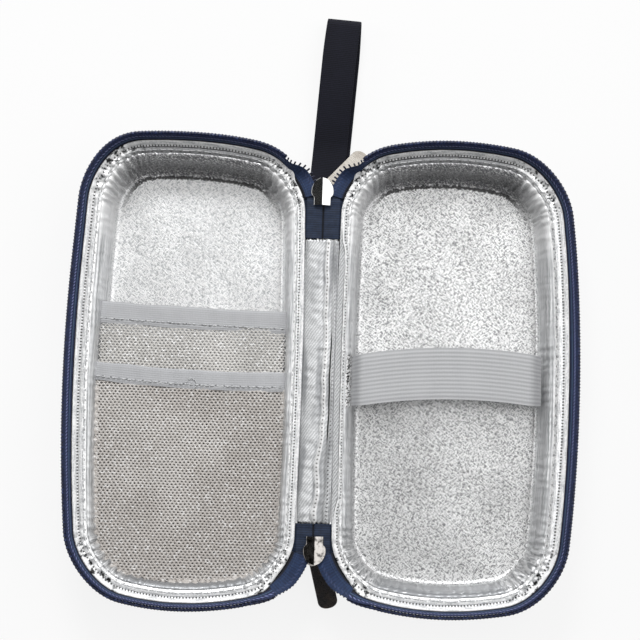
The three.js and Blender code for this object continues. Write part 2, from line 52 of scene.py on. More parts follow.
# The tray that both halves share
TRAY_WIDTH = 97.0
TRAY_LENGTH = 197.0
CORNER = 21.0
OUTER_BOW = 4.5
HINGE_BOW = 1.5
END_BOW = 9.0
WALL_TOP = 22.0
DRAFT = 3.0
FLOOR_ROUND = 8.0
LID_X = -111.0
SPINE_X = -55.5
HINGE_Z = 24.0
HALF_WIDTH = TRAY_WIDTH / 2
HALF_LENGTH = TRAY_LENGTH / 2
QUARTER = math.pi / 2 * CORNER
SIDE_RUN = HALF_LENGTH - CORNER
END_RUN = TRAY_WIDTH - 2 * CORNER
RUNS = (SIDE_RUN, QUARTER, END_RUN, QUARTER, 2 * SIDE_RUN, QUARTER, END_RUN, QUARTER, SIDE_RUN)
PERIMETER = sum(RUNS)
CORNER_MIDDLES = (SIDE_RUN + QUARTER / 2, SIDE_RUN + 1.5 * QUARTER + END_RUN)
HALVES = ("base", "lid")

# The zipper
TAPE_Z = 22.95
TAPE_ROOT = 0.65
TAPE_WIDTH = 6.3
TEETH_PITCH = 1.5
SIDE_LEAN = math.radians(48)
END_LEAN = math.radians(72)
TOP_RISE = (0.37, 0.62)
BOTTOM_RISE = (0.38, 1.0)
WEB_END = SIDE_RUN + CORNER * math.radians(60)
WEB_START_Y = 76.3
TOP_SLIDER_Y = 78.3
BOTTOM_SLIDER_Y = -76.3
PULL_Z = 18.925


# Shapes in numbers
def square_rim(distance):
    """Points of the rim before its sides bow, at distances clockwise from the middle of the hinge side."""
    d = np.mod(np.asarray(distance, float), PERIMETER)
    starts = np.concatenate(([0.0], np.cumsum(RUNS)))
    part = np.clip(np.searchsorted(starts, d, side="right") - 1, 0, 8)
    t = d - starts[part]
    cx, cy = HALF_WIDTH - CORNER, HALF_LENGTH - CORNER

    def arc(x, y, angle):
        return x + CORNER * np.cos(angle), y + CORNER * np.sin(angle)

    turn = t / CORNER
    runs = (
        (0 * t - HALF_WIDTH, t),
        arc(-cx, cy, math.pi - turn),
        (t - cx, 0 * t + HALF_LENGTH),
        arc(cx, cy, math.pi / 2 - turn),
        (0 * t + HALF_WIDTH, cy - t),
        arc(cx, -cy, -turn),
        (cx - t, 0 * t - HALF_LENGTH),
        arc(-cx, -cy, -math.pi / 2 - turn),
        (0 * t - HALF_WIDTH, t - cy),
    )
    return np.choose(part, [r[0] for r in runs]), np.choose(part, [r[1] for r in runs])


def rim(distance):
    x, y = square_rim(distance)
    bow = np.where(x < 0, HINGE_BOW, OUTER_BOW)
    across = x * (1 - bow / HALF_WIDTH * (y / HALF_LENGTH) ** 2)
    along = y * (1 - END_BOW / HALF_LENGTH * (x / HALF_WIDTH) ** 2)
    return np.stack([across, along], -1)


def unit(vectors):
    return vectors / np.maximum(np.linalg.norm(vectors, axis=-1, keepdims=True), 1e-12)


def rim_ahead(distance):
    return unit(rim(distance + 0.05) - rim(distance - 0.05))


def outward(distance):
    ahead = rim_ahead(distance)
    return np.stack([-ahead[..., 1], ahead[..., 0]], -1)


def ring(distance, inset):
    return rim(distance) - outward(distance) * np.asarray(inset)[..., None]


def stations(step, start=0.0, end=None):
    """Distances along the rim, about a step apart. Without an end they go all the way round."""
    if end is None:
        return np.arange(0, PERIMETER, PERIMETER / round(PERIMETER / step))
    return np.linspace(start, end, max(2, round((end - start) / step) + 1))


def from_hinge(distance):
    """How far round the rim a point is from the middle of the hinge side, the shorter way."""
    d = np.mod(distance, PERIMETER)
    return np.minimum(d, PERIMETER - d)


def corner_share(distance, reach):
    """1 at the rim's corners and 0 far from them, as a column."""
    away = from_hinge(distance)[:, None] - np.array(CORNER_MIDDLES)
    return np.exp(-((away / reach) ** 2)).sum(1)[:, None]


def smooth(t):
    t = np.clip(t, 0, 1)
    return t * t * (3 - 2 * t)


def lean_at(distance, half):
    """The angle that the zipper's tape leans up by, at distances along the rim."""
    near = from_hinge(distance)
    share = (near - SIDE_RUN) / QUARTER
    at_top = (np.mod(distance, PERIMETER) < PERIMETER / 2) == (half == "base")
    start, full = (np.where(at_top, top, bottom) for top, bottom in zip(TOP_RISE, BOTTOM_RISE))
    rising = END_LEAN * smooth((share - start) / (full - start))
    side = np.minimum((rim(near)[..., 1] / HALF_LENGTH) ** 2, 1)
    return np.where(share < 1, rising, SIDE_LEAN + (END_LEAN - SIDE_LEAN) * side)


def tape_point(distance, across, off, half):
    """Points at some way across the leaning tape, and off its face."""
    distance, across, off = np.broadcast_arrays(distance, across, off)
    lean = lean_at(distance, half)
    out = TAPE_ROOT + across * np.cos(lean) - off * np.sin(lean)
    z = TAPE_Z + across * np.sin(lean) + off * np.cos(lean)
    return np.concatenate([ring(distance, -out), z[..., None]], -1)


# Where each soft half is pushed out of its plain tray: the place, the reach and the push
PUSHES = {
    "base": (((45, 92), 24, (-0.8, 0.9)), ((45, -92), 24, (-0.3, -1.0))),
    "lid": (((42, -93), 27, (1.0, -4.2)),),
}
SIDE_PUSH = {"base": 2.4, "lid": -0.5}


def placed(points, half):
    """Points of the soft tray put where this half lies."""
    points = np.array(points, float)
    x, y = points[..., 0].copy(), points[..., 1].copy()
    points[..., 0] += SIDE_PUSH[half] * smooth(x / HALF_WIDTH)
    for (at_x, at_y), reach, (push_x, push_y) in PUSHES[half]:
        near = np.exp(-((x - at_x) ** 2 + (y - at_y) ** 2) / reach**2)
        points[..., 0] += push_x * near
        points[..., 1] += push_y * near
    if half == "lid":
        points[..., 0] = LID_X - points[..., 0]
        points[..., 1] = -points[..., 1]
    return points


def ripple(along, across, seed, waves, longest, shortest, round_trip=PERIMETER):
    """Uneven waves along a length, which drift across it. They repeat after the round trip."""
    chance = np.random.default_rng(seed)
    total = np.zeros(np.broadcast_shapes(np.shape(along), np.shape(across)))
    for _ in range(waves):
        turns = round(chance.uniform(round_trip / longest, round_trip / shortest))
        total = total + np.sin(
            2 * math.pi * turns * along / round_trip
            + chance.uniform(0, 2 * math.pi)
            + chance.normal(0, 1) * across
        )
    return total / math.sqrt(waves)


def pinched(wave):
    """A wave with steeper sides."""
    return np.sign(wave) * np.abs(wave) ** 0.7


def chaikin(points, times):
    """A line with its corners cut, ends kept."""
    points = np.asarray(points, float)
    for _ in range(times):
        a, b = points[:-1], points[1:]
        cut = np.stack([0.75 * a + 0.25 * b, 0.25 * a + 0.75 * b], 1).reshape(-1, points.shape[1])
        points = np.concatenate([points[:1], cut, points[-1:]])
    return points


def lengths(points):
    """How far along a line each of its points is."""
    return np.concatenate([[0], np.cumsum(np.linalg.norm(np.diff(points, axis=0), axis=1))])


def resampled(points, count):
    points = np.asarray(points, float)
    way = lengths(points)
    at = np.linspace(0, way[-1], count)
    return np.stack([np.interp(at, way, points[:, k]) for k in range(points.shape[1])], -1)


def spread(x, y, z):
    """A grid of points from coordinates that may be whole grids, rows, columns or single numbers."""
    return np.stack(np.broadcast_arrays(x, y, z), -1)


def mirrored(half):
    """A closed section from the (x, z) corners of its right half."""
    return [(-x, z) for x, z in half] + list(half)[::-1]


# Meshes
class Shape:
    """Points and faces in millimetres, gathered into one mesh. The UV map is in millimetres too."""

    def __init__(self):
        self.points, self.faces, self.maps, self.count = [], [], [], 0

    def add(self, points, faces, maps):
        self.points.append(np.asarray(points, float).reshape(-1, 3))
        self.faces += [[i + self.count for i in face] for face in faces]
        self.maps.append(np.asarray(maps, float).reshape(-1, 2))
        self.count += len(self.points[-1])
        return self

    def grid(self, points, us, vs, loop_u=False, loop_v=False, caps=False):
        """A grid of points with u along its first side and v along its second."""
        points = np.asarray(points, float)
        nu, nv = points.shape[:2]
        steps = np.arange(nu if loop_u else nu - 1), np.arange(nv if loop_v else nv - 1)
        a, b = np.meshgrid(*steps, indexing="ij")
        corners = [(a, b), (a + 1, b), (a + 1, b + 1), (a, b + 1)]
        faces = np.stack([(i % nu) * nv + j % nv for i, j in corners], -1).reshape(-1, 4)
        us = np.append(us, 2 * us[-1] - us[-2]) if loop_u else np.asarray(us)
        vs = np.append(vs, 2 * vs[-1] - vs[-2]) if loop_v else np.asarray(vs)
        maps = np.stack([np.stack([us[i], vs[j]], -1) for i, j in corners], -2).reshape(-1, 2)
        faces = faces.tolist()
        if caps:
            ends = (
                ([i * nv for i in range(nu)], [i * nv + nv - 1 for i in range(nu)])
                if loop_u
                else (list(range(nv)), [(nu - 1) * nv + j for j in range(nv)])
            )
            for end in ends:
                faces.append(end)
                maps = np.concatenate([maps, points.reshape(-1, 3)[end][:, :2]])
        return self.add(points, faces, maps)

    def tube(self, path, radius, sides, beside, loop=False, caps=True):
        """A round bar along a path. beside is a direction never along it, or one for each point."""
        path = np.asarray(path, float)
        ahead = unit(np.roll(path, -1, 0) - np.roll(path, 1, 0) if loop else np.gradient(path, axis=0))
        a = unit(np.cross(ahead, beside))
        b = np.cross(a, ahead)
        turn = np.linspace(0, 2 * math.pi, sides, endpoint=False)[None, :, None]
        sizes = np.asarray(radius, float)
        sizes = sizes[:, None] if sizes.shape == (len(path),) else sizes
        wide, high = np.broadcast_to(sizes, (len(path), 2)).T[:, :, None, None]
        points = path[:, None] + np.cos(turn) * wide * a[:, None] + np.sin(turn) * high * b[:, None]
        vs = np.linspace(0, 2 * math.pi, sides, endpoint=False) * float(np.max(wide))
        return self.grid(points, lengths(path), vs, loop_u=loop, loop_v=True, caps=caps and not loop)

    def mesh(self, name):
        mesh = bpy.data.meshes.new(name)
        mesh.from_pydata((np.concatenate(self.points) * MM).tolist(), [], self.faces)
        layer = mesh.uv_layers.new(name="Flat")
        layer.data.foreach_set("uv", np.concatenate(self.maps).astype(np.float32).ravel())
        mesh.polygons.foreach_set("use_smooth", [True] * len(mesh.polygons))
        mesh.update()
        return mesh

    def object(self, name, material, closed=True, sharp=None):
        mesh = self.mesh(name)
        if closed:
            work = bmesh.new()
            work.from_mesh(mesh)
            bmesh.ops.recalc_face_normals(work, faces=work.faces)
            work.to_mesh(mesh)
            work.free()
        if sharp is not None:
            mesh.set_sharp_from_angle(angle=math.radians(sharp))
        mesh.materials.append(material)
        return in_scene(name, mesh)


def in_scene(name, data):
    made = bpy.data.objects.new(name, data)
    bpy.context.scene.collection.objects.link(made)
    return made


def strip(name, points, us, vs, look, sharp=None):
    """A closed bar: sections along u, each of them a ring of points."""
    return Shape().grid(points, us, vs, loop_v=True, caps=True).object(name, look, sharp=sharp)


def slab(name, face, under, us, vs, gap, look, sharp=None):
    """A thin piece with its upper face given. Its lower one is given too, or is a plain depth under it.
    The map runs across the upper face, and across the lower one after a gap."""
    back = face - (0, 0, under) if np.isscalar(under) else under
    points = np.concatenate([face, back[:, ::-1]], 1)
    return strip(name, points, us, np.concatenate([vs, vs + gap]), look, sharp)


def fixed(made, body, slot, *nodes):
    """A piece that moves with one body and stands for its CAD nodes."""
    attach(made, body)
    if nodes:
        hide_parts(*nodes)
    return made


# Materials
def tone(code, alpha=1.0):
    """A colour written as six hexadecimal digits, turned to linear light."""
    values = [int(code[i : i + 2], 16) / 255 for i in (0, 2, 4)]
    return tuple(v / 12.92 if v <= 0.04045 else ((v + 0.055) / 1.055) ** 2.4 for v in values) + (alpha,)


class Number:
    """A number in a node tree, which can be added, taken away and multiplied."""

    def __init__(self, look, socket):
        self.look, self.socket = look, socket

    def __add__(self, other):
        return self.look.worked("ADD", self, other)

    def __sub__(self, other):
        return self.look.worked("SUBTRACT", self, other)

    def __rsub__(self, other):
        return self.look.worked("SUBTRACT", other, self)

    def __mul__(self, other):
        return self.look.worked("MULTIPLY", self, other)

    def __abs__(self):
        return self.look.worked("ABSOLUTE", self)


class Look:
    """The node tree of a material or a world, with short calls for the nodes that it needs."""

    def __init__(self, name, of_world=False):
        self.owner = (bpy.data.worlds if of_world else bpy.data.materials).new(name)
        self.owner.use_nodes = True
        self.tree = self.owner.node_tree
        self.tree.nodes.clear()

    def add(self, kind, sockets=None, **settings):
        """A node with its inputs linked or set. A colour may be written as six hexadecimal digits."""
        node = self.tree.nodes.new(kind)
        for key, value in settings.items():
            setattr(node, key, value)
        for key, value in (sockets or {}).items():
            value = value.socket if isinstance(value, Number) else value
            if isinstance(value, bpy.types.NodeSocket):
                self.tree.links.new(value, node.inputs[key])
            else:
                node.inputs[key].default_value = tone(value) if isinstance(value, str) else value
        return node

    def number(self, kind, sockets, output=0, **settings):
        return Number(self, self.add(kind, sockets, **settings).outputs[output])

    def worked(self, operation, *values):
        return self.number("ShaderNodeMath", dict(enumerate(values)), operation=operation)

    def most(self, a, b):
        return self.worked("MAXIMUM", a, b)

    def least(self, a, b):
        return self.worked("MINIMUM", a, b)

    def parts(self, at):
        """The three numbers of a place."""
        return [Number(self, part) for part in self.add("ShaderNodeSeparateXYZ", {0: at}).outputs]

    def joined(self, x, y):
        return self.add("ShaderNodeCombineXYZ", {0: x, 1: y}).outputs[0]

    def place(self):
        """Where a point of the piece is, in millimetres."""
        at = self.add("ShaderNodeTexCoord").outputs["Object"]
        return self.add("ShaderNodeVectorMath", {0: at, 3: 1 / MM}, operation="SCALE").outputs[0]

    def flat(self):
        """The two lengths of the piece's own map, in millimetres."""
        return self.parts(self.add("ShaderNodeUVMap", uv_map="Flat").outputs[0])[:2]

    def between(self, value, low, high, to_low=0.0, to_high=1.0):
        """A smooth step from one level to another as a value goes from low to high."""
        ends = {"From Min": low, "From Max": high, "To Min": to_low, "To Max": to_high}
        return self.number("ShaderNodeMapRange", {"Value": value, **ends}, interpolation_type="SMOOTHSTEP")

    def mix(self, factor, a, b, blend="MIX"):
        node = self.add("ShaderNodeMix", {0: factor, 6: a, 7: b}, data_type="RGBA", blend_type=blend)
        return node.outputs[2]

    def noise(self, at, size, detail=2.0, rough=0.5):
        """Noise whose spots are about this size."""
        sockets = {"Vector": at, "Scale": 1 / size, "Detail": detail, "Roughness": rough}
        return self.number("ShaderNodeTexNoise", sockets)

    def cells(self, at, size):
        """A value that jumps from one small cell to the next."""
        color = self.add("ShaderNodeTexVoronoi", {"Vector": at, "Scale": 1 / size}).outputs["Color"]
        return self.number("ShaderNodeSeparateColor", {0: color})

    def turned(self, at, angles, scale=(1, 1, 1)):
        """A place turned, then scaled along its new axes."""
        spin = tuple(math.radians(a) for a in angles)
        spun = self.add("ShaderNodeMapping", {"Vector": at, "Rotation": spin}).outputs[0]
        return self.add("ShaderNodeVectorMath", {0: spun, 1: scale}, operation="MULTIPLY").outputs[0]

    def bands(self, at, pitch, distortion=0.0):
        """Soft stripes across the first axis."""
        sockets = {"Vector": at, "Scale": math.pi / 10 / pitch, "Distortion": distortion}
        sockets.update({"Detail": 1.0, "Detail Scale": 1.5})
        return self.number("ShaderNodeTexWave", sockets, "Fac", bands_direction="X")

    def levels(self, value, stops):
        """Greys by a value from -1 to 1. The first two stops are its ends."""
        share = self.add("ShaderNodeMapRange", {"Value": value, "From Min": -1}).outputs[0]
        ramp = self.add("ShaderNodeValToRGB", {0: share})
        elements = ramp.color_ramp.elements
        for k, (place, level) in enumerate(stops):
            stop = elements[k] if k < 2 else elements.new((place + 1) / 2)
            stop.position = (place + 1) / 2
            stop.color = (level, level, level, 1)
        return ramp.outputs[0]

    def bump(self, height, depth, strength=1.0, under=None):
        sockets = {"Height": height, "Distance": depth * MM, "Strength": strength}
        if under is not None:
            sockets["Normal"] = under
        return self.add("ShaderNodeBump", sockets).outputs[0]

    def finish(self, color, roughness, metallic=0.0, normal=None, **more):
        sockets = {"Base Color": color, "Roughness": roughness, "Metallic": metallic}
        sockets.update({key.replace("_", " "): value for key, value in more.items()})
        if normal is not None:
            sockets["Normal"] = normal
        shader = self.add("ShaderNodeBsdfPrincipled", sockets)
        self.add("ShaderNodeOutputMaterial", {"Surface": shader.outputs[0]})
        return self.owner


def half_wave(look, value, pitch):
    """Ribs from 0 to 1 along a length."""
    return look.worked("SINE", value * (2 * math.pi / pitch)) * 0.5 + 0.5


def painted_end_wall_light(look, at):
    """Masks of the end walls beside the wrist strap: painted shade for their dark middles, which face away
    from the key light, and painted highlights for their shining corners.
    """
    x, y = look.parts(at)[:2]
    aside = look.least(abs(x), abs(x - LID_X))
    middle = look.between(y, 60.0, 82.0) * look.between(aside, 37.0, 27.0)
    return middle, look.between(y, 50.0, 66.0) * look.between(aside, 28.0, 37.0)


def at_corners(look, u):
    """1 at the rim's four corners, by the map's first length, and 0 along its sides."""
    near = look.least(u, PERIMETER - u)
    away = [abs(near - middle) for middle in CORNER_MIDDLES]
    return look.between(look.least(*away), 17.0, 9.0)


def foil_look(name, dark, light, patchy):
    """Silver film over a woven scrim: a floor of fine crossed threads that glitter, and smooth walls.
    The map's second length is under 100 on the floor, and over it up the wall. Light and shade are painted
    into its colour: shade on the floor towards the bottom, on the bottom end walls, and on the top end walls
    and their foot, highlights on the top end walls' corners, and light and shade on the creased corners
    and on the crumpled foil by the elastic's end."""
    look = Look(name)
    u, v = look.flat()
    at = look.place()
    x, y, z = look.parts(at)
    one = look.noise(look.turned(at, (0, 0, 40), (0.25, 0.95, 1)), 0.5, 1.0, 0.5)
    two = look.noise(look.turned(at, (0, 0, -47), (0.27, 0.95, 1)), 0.5, 1.0, 0.5)
    grain = look.noise(at, 0.5, 1.0, 0.6)
    spark = look.cells(at, 0.55)
    level = look.most(one, two) * 0.7 + grain * 0.3
    pits = level * 0.92 + spark * 0.09
    patches = look.between(look.noise(at, 30.0, 1.0), 0.35, 0.65, 1 - patchy, 1.0)
    # The foil is painted darker towards the bottom, as painted shade; the noise before it is the foil's own
    # uneven tone.
    patches = patches * look.between(y, -35.0, 25.0, 0.9, 1.0)
    floor = look.mix(look.between(pits, 0.42, 0.6), dark, light)

    # Masks for the painted shade of the top end walls and the painted highlights on their corners.
    shade, shine = painted_end_wall_light(look, at)
    corner = at_corners(look, u)
    on_wall = look.between(v, 101.5, 106.5)
    streak = look.noise(look.joined(u * 0.05, v), 0.9, 2.0)
    streak = look.between(streak, 0.3, 0.7)
    # Painted light and shade of the creases on the walls at the rim's corners.
    pleat = look.noise(look.joined(u, v * 0.15), 0.9, 2.0)
    pleats_lit_and_shaded = look.mix(look.between(pleat, 0.36, 0.58), "8e9092", "ffffff")
    wall = look.mix(streak, "b4b6b8", "f3f4f5")
    # The walls at the bottom end are painted darker, as painted shade.
    wall = look.mix(look.between(y, -64.0, -84.0), wall, look.mix(streak, "97999c", "abadb0"))
    wall = look.mix(corner * 0.6, wall, pleats_lit_and_shaded)
    # Painted highlights on the corners of the top end walls.
    wall = look.mix(shine * 0.6, wall, "ffffff")
    color = look.mix(on_wall, floor, wall)
    # The top end walls are painted dim, as painted shade, with painted glints on their weave.
    glint = look.between(look.noise(look.turned(at, (0, 0, 40), (0.4, 0.9, 1)), 0.5, 2.0, 0.6), 0.46, 0.64)
    dim_wall = look.mix(glint, "8f8f92", "ffffff")
    color = look.mix(shade * look.between(v, 100.0, 102.0), color, dim_wall)
    # A dark jagged line painted at the foot of the top end walls, as painted shade.
    jag = look.noise(at, 0.9, 1.0) * 2.6
    foot_shade = look.between(abs(v + jag - 102.0), 1.1, 0.5)
    color = look.mix(foot_shade * shade * 0.9, color, "161617")
    # The crumpled foil beside the elastic's tucked end, painted in black and white as its light and shade.
    tuck = look.between(abs(x - TUCK_X), 1.5, 1.0) * look.between(abs(y - TUCK_Y), 12.0, 10.5)
    tuck = tuck * look.between(z, 13.0, 15.0)
    crumple_light_and_shade = look.between(look.noise(at, 0.75, 1.0), 0.43, 0.53)
    color = look.mix(tuck, color, look.mix(crumple_light_and_shade, "121213", "ffffff"))
    grey = look.add("ShaderNodeCombineColor", {0: patches, 1: patches, 2: patches}).outputs[0]
    color = look.mix(1.0, color, grey, "MULTIPLY")

    soft = look.bump(look.noise(at, 4.0, 3.0), 0.3, 0.5)
    depth = look.between(on_wall, 0.0, 1.0, 1.0, 0.2)
    metallic = look.between(v, 102.0, 107.0, 0.72, 0.45) - shine * 0.28
    roughness = look.between(spark, 0.1, 0.9, 0.3, 0.44)
    return look.finish(color, roughness, metallic, look.bump(level, 0.16, depth, soft))


def twill_look(name, pitch, angle):
    """Silver twill of the spine's lining: fine slanting cords with painted shade in its long folds, a dotted
    cord, and a crease painted dark as shade.
    """
    look = Look(name)
    u, v = look.flat()
    at = look.place()
    y = look.parts(at)[1]
    cords = look.bands(look.turned(at, (20, 20, angle)), pitch, 0.8)
    grain = look.noise(at, 0.5, 2.0, 0.6)
    level = cords * 0.28 + grain * 0.72
    # Painted shade in the lining's long folds.
    shade = look.between(look.noise(look.turned(at, (0, 0, 0), (1, 0.14, 1)), 4.0, 1.0), 0.36, 0.6, 0.75, 0.0)
    color = look.mix(look.between(level, 0.2, 0.8), "afb1b3", "e6e7e8")
    color = look.mix(shade, color, "8b8d90")
    row, line = CORD_SHARE * LINING_MAP, CREASE_SHARE * LINING_MAP
    cord = look.between(abs(v - row), 1.1, 0.6, 0.0, 0.75)
    color = look.mix(cord, color, "ffffff")
    # The crease painted dark as shade, darkest along the middle of the spine.
    crease = look.between(abs(v - line), 0.45, 0.2)
    deep = look.between(y, -34.0, -24.0) * look.between(y, 22.0, 12.0)
    crease = crease * look.between(deep, 0.0, 1.0, 0.25, 0.97)
    holes = dots(look, u, v, row, 1.7, 0.4, 0.45) * 0.7
    more = dots(look, u, v, line + 1.1, 1.75, 0.35, 0.4) * look.between(y, 30.0, -34.0, 0.3, 0.75)
    color = look.mix(look.most(crease, look.most(holes, more)), color, "0c0c0d")
    normal = look.bump(level, 0.02, 0.5, look.bump(look.noise(at, 3.0, 2.0), 0.3, 0.6))
    return look.finish(color, 0.42, 0.5, normal)


def dots(look, u, v, row, pitch, wide, long):
    """Spots in a row along the map's first length, 1 in their middles and 0 between them."""
    along = half_wave(look, u, pitch)
    across = abs(v - row)
    near = look.between(across, wide, wide * 0.45)
    return near * look.between(along, 1 - long, 1 - long * 0.4)


def rim_look(name):
    """Foil rolled over the rim: a smooth bright bead, a row of needle holes, and a plain slope inside it. At
    the top end walls the slope and a groove beside the bead are painted dark as shade, and at the corners the
    crushed folds are painted in light and shade.
    """
    look = Look(name)
    u, v = look.flat()
    at = look.place()
    x, y = look.parts(at)[:2]
    grain = look.noise(at, 0.7, 2.0, 0.6)
    streak = look.noise(look.joined(u * 0.1, v), 0.7, 2.0)
    level = grain * 0.4 + streak * 0.6
    color = look.mix(look.between(level, 0.35, 0.6), "c6c8ca", "ffffff")
    # Painted shade on the inner slope at the top end walls.
    inner = look.between(v, RIDGE + 0.1, RIDGE + 0.5)
    shade = inner * painted_end_wall_light(look, at)[0]
    color = look.mix(shade * 0.95, color, look.mix(grain, "5c5c5f", "b6b7b9"))
    # The crushed corners: painted light and shade of their folds, and dark splits painted as shade.
    crushed = at_corners(look, u) * look.between(v, 5.0, 3.6)
    folds = look.noise(at, 2.6, 3.0, 0.62)
    creased = look.mix(look.between(folds, 0.42, 0.5), "a2a4a6", "ffffff")
    color = look.mix(crushed * 0.8, color, creased)
    holes = dots(look, u, v, RIDGE, 1.45, 0.5, 0.6)
    # A dark groove beside the bead, painted as shade at the top end walls.
    gap = look.between(abs(v - (RIDGE + 0.55)), 0.5, 0.3)
    holes = look.most(holes, gap * shade * 0.9)
    split_shade = crushed * look.between(folds, 0.42, 0.39)
    needles = dots(look, u, v, RIDGE + 3.0, 4.7, 0.35, 0.16)
    dark = look.most(look.most(holes * 0.92, needles * 0.6), split_shade)

    beside_spine = look.between(abs(x + HALF_WIDTH), 3.2, 2.8) * look.between(abs(y), 66.0, 58.0)
    flange = look.between(v, 1.05, 0.9) * beside_spine
    cords = look.bands(look.turned(at, (20, 20, 38)), 0.9, 0.8)
    cords = cords * 0.3 + grain * 0.7
    color = look.mix(flange, color, look.mix(look.between(cords, 0.25, 0.75), "9fa1a3", "e4e5e6"))
    seam = look.between(abs(v - 1.0), 0.18, 0.08)
    dark = look.most(dark, seam * beside_spine * 0.8)
    color = look.mix(dark, color, "1c1c1e")
    metallic = look.between(v, RIDGE - 0.3, RIDGE + 0.3, 0.12, 0.5)
    return look.finish(color, 0.34, metallic, look.bump(level - holes, 0.18, 0.7))


def tape_look(name, dark, light, margin, line_share):
    """Navy zipper tape: faint cross ribs, a black inner margin painted as the shadow under the rim roll, a
    thin pale line, and light dashes painted as highlights on the teeth.
    """
    look = Look(name)
    u, v = look.flat()
    at = look.place()
    level = half_wave(look, u, 0.95) * 0.14 + look.noise(at, 0.35, 2.0, 0.6) * 0.4
    level = level + look.noise(at, 2.4, 2.0, 0.6) * 0.46
    color = look.mix(look.between(level, 0.25, 0.75), dark, light)
    line = look.between(abs(v - (margin + 0.75)), 0.3, 0.14)
    color = look.mix(line * line_share, color, "4f6b86")
    # Light dashes painted as highlights on the teeth.
    dashes = dots(look, u + v, v, 4.7, 1.5, 0.6, 0.75)
    color = look.mix(dashes * (line_share * 1.4), color, "7780ae")
    # The inner margin painted near-black as the shadow under the rim roll.
    inner = look.between(v, margin, margin - 0.6)
    color = look.mix(inner * 0.95, color, "04050a")
    return look.finish(color, 0.8, 0.0, look.bump(level + line * 0.8, 0.16, 0.6))


def chain_look(name):
    """The navy tape under a slider, ribbed from side to side, with a dark line down the middle."""
    look = Look(name)
    u, v = look.flat()
    at = look.place()
    level = half_wave(look, u, 1.0) * 0.2 + look.noise(at, 0.35, 2.0, 0.6) * 0.4
    level = level + look.noise(at, 2.6, 2.0, 0.6) * 0.4
    color = look.mix(look.between(level, 0.25, 0.75), "0d1728", "20304b")
    middle = look.between(v, 0.55, 0.2)
    color = look.mix(middle * 0.9, color, "070a14")
    return look.finish(color, 0.78, 0.0, look.bump(level, 0.2, 0.7))


def coil_look(name, clean, worn):
    """Nylon zipper teeth, moulded smooth with slight wear on their tops."""
    look = Look(name)
    at = look.place()
    wear = look.between(look.noise(at, 1.1, 2.0), 0.45, 0.7)
    color = look.mix(wear, clean, worn)
    return look.finish(color, 0.38, 0.0, look.bump(look.noise(at, 0.4), 0.04, 0.5))


def cloth_look(name, dark, light, pitch):
    """Plain woven cloth, its threads over and under each other."""
    look = Look(name)
    at = look.place()
    x, y, z = look.parts(at)
    warp = half_wave(look, x + z, pitch)
    weft = half_wave(look, y + z, pitch)
    over = abs(warp - weft)
    fuzz = look.noise(at, 0.4, 3.0, 0.6)
    level = over * 0.6 + fuzz * 0.4
    faded = look.between(look.noise(at, 18.0, 3.0), 0.35, 0.75, 0.0, 0.35)
    color = look.mix(look.between(level, 0.15, 0.85), dark, light)
    color = look.mix(faded, color, light)
    normal = look.bump(level, 0.2, 0.8, look.bump(look.noise(at, 9.0, 2.0), 0.5, 0.4))
    return look.finish(color, 0.75, 0.0, normal)


def foam_look(name):
    look = Look(name)
    at = look.place()
    cells = look.add("ShaderNodeTexVoronoi", {"Vector": at, "Scale": 1.4}).outputs[0]
    grime = look.between(look.noise(at, 12.0, 3.0), 0.3, 0.7)
    color = look.mix(grime, "c9cbcc", "e2e3e2")
    return look.finish(color, 0.9, 0.0, look.bump(cells, 0.3, 0.7))


def net_look(name, dark, light, glare):
    """Warm grey knit, with soft pale patches of painted glare and small painted glints where light catches
    it.
    """
    look = Look(name)
    at = look.place()
    fibre = look.noise(look.turned(at, (0, 0, 0), (1, 4, 1)), 0.5, 2.0, 0.6)
    # Pale patches of painted glare.
    patch = look.between(look.noise(at, 26.0, 1.0), 0.42, 0.7, 0.0, glare)
    glint = look.between(look.cells(at, 0.8), 0.84, 0.9)
    color = look.mix(look.between(fibre, 0.3, 0.7), dark, light)
    color = look.mix(patch, color, "dedbd7")
    color = look.mix(glint * glare, color, "ffffff")
    return look.finish(color, 0.55, 0.0, look.bump(fibre, 0.08, 0.6))


def ribbed_look(name, dark, light, pitch, along, depth=0.2, gloss=0.6, rib=0.55, row=None, tucked=None):
    """Ribbon or elastic with ribs along or across its map, worn, fuzzy threads, perhaps needle holes, and
    perhaps ends painted darker as shade where they tuck under.
    """
    look = Look(name)
    u, v = look.flat()
    at = look.place()
    ribs = half_wave(look, v if along else u, pitch)
    cross = half_wave(look, u if along else v, 0.7)
    level = ribs * rib + cross * 0.12 + look.noise(at, 0.4, 3.0, 0.6) * (0.88 - rib)
    soft = look.between(look.noise(at, 14.0, 2.0), 0.35, 0.7, 0.0, 0.25)
    color = look.mix(look.between(level, 0.2, 0.8), dark, light)
    color = look.mix(soft, color, light)
    if row is not None:
        holes = dots(look, u, v, row, 3.5, 0.42, 0.2) * 0.75
        color = look.mix(holes, color, "4a4b4e")
        level = level - holes
    # Where the ends slope down and tuck under, they are painted darker as shade.
    if tucked is not None:
        end = look.between(abs(u), tucked - 4.5, tucked - 0.5, 0.0, 0.4)
        color = look.mix(end, color, "55565a")
    return look.finish(color, gloss, 0.0, look.bump(level, depth, 0.8), Specular_IOR_Level=0.25)


def metal_look(name, clean, worn, low, high, metallic=1.0, spots=5.0):
    """Plated metal with hair scratches and slightly dull, worn patches."""
    look = Look(name)
    at = look.place()
    scratch = look.noise(look.turned(at, (0, 0, 35), (0.15, 3.0, 1.0)), 0.5, 3.0, 0.6)
    patch = look.between(look.noise(at, spots, 3.0), 0.42, 0.72)
    color = look.mix(patch, clean, worn)
    roughness = look.between(scratch, 0.3, 0.7, low, high)
    return look.finish(color, roughness, metallic, look.bump(scratch, 0.002, 0.4))


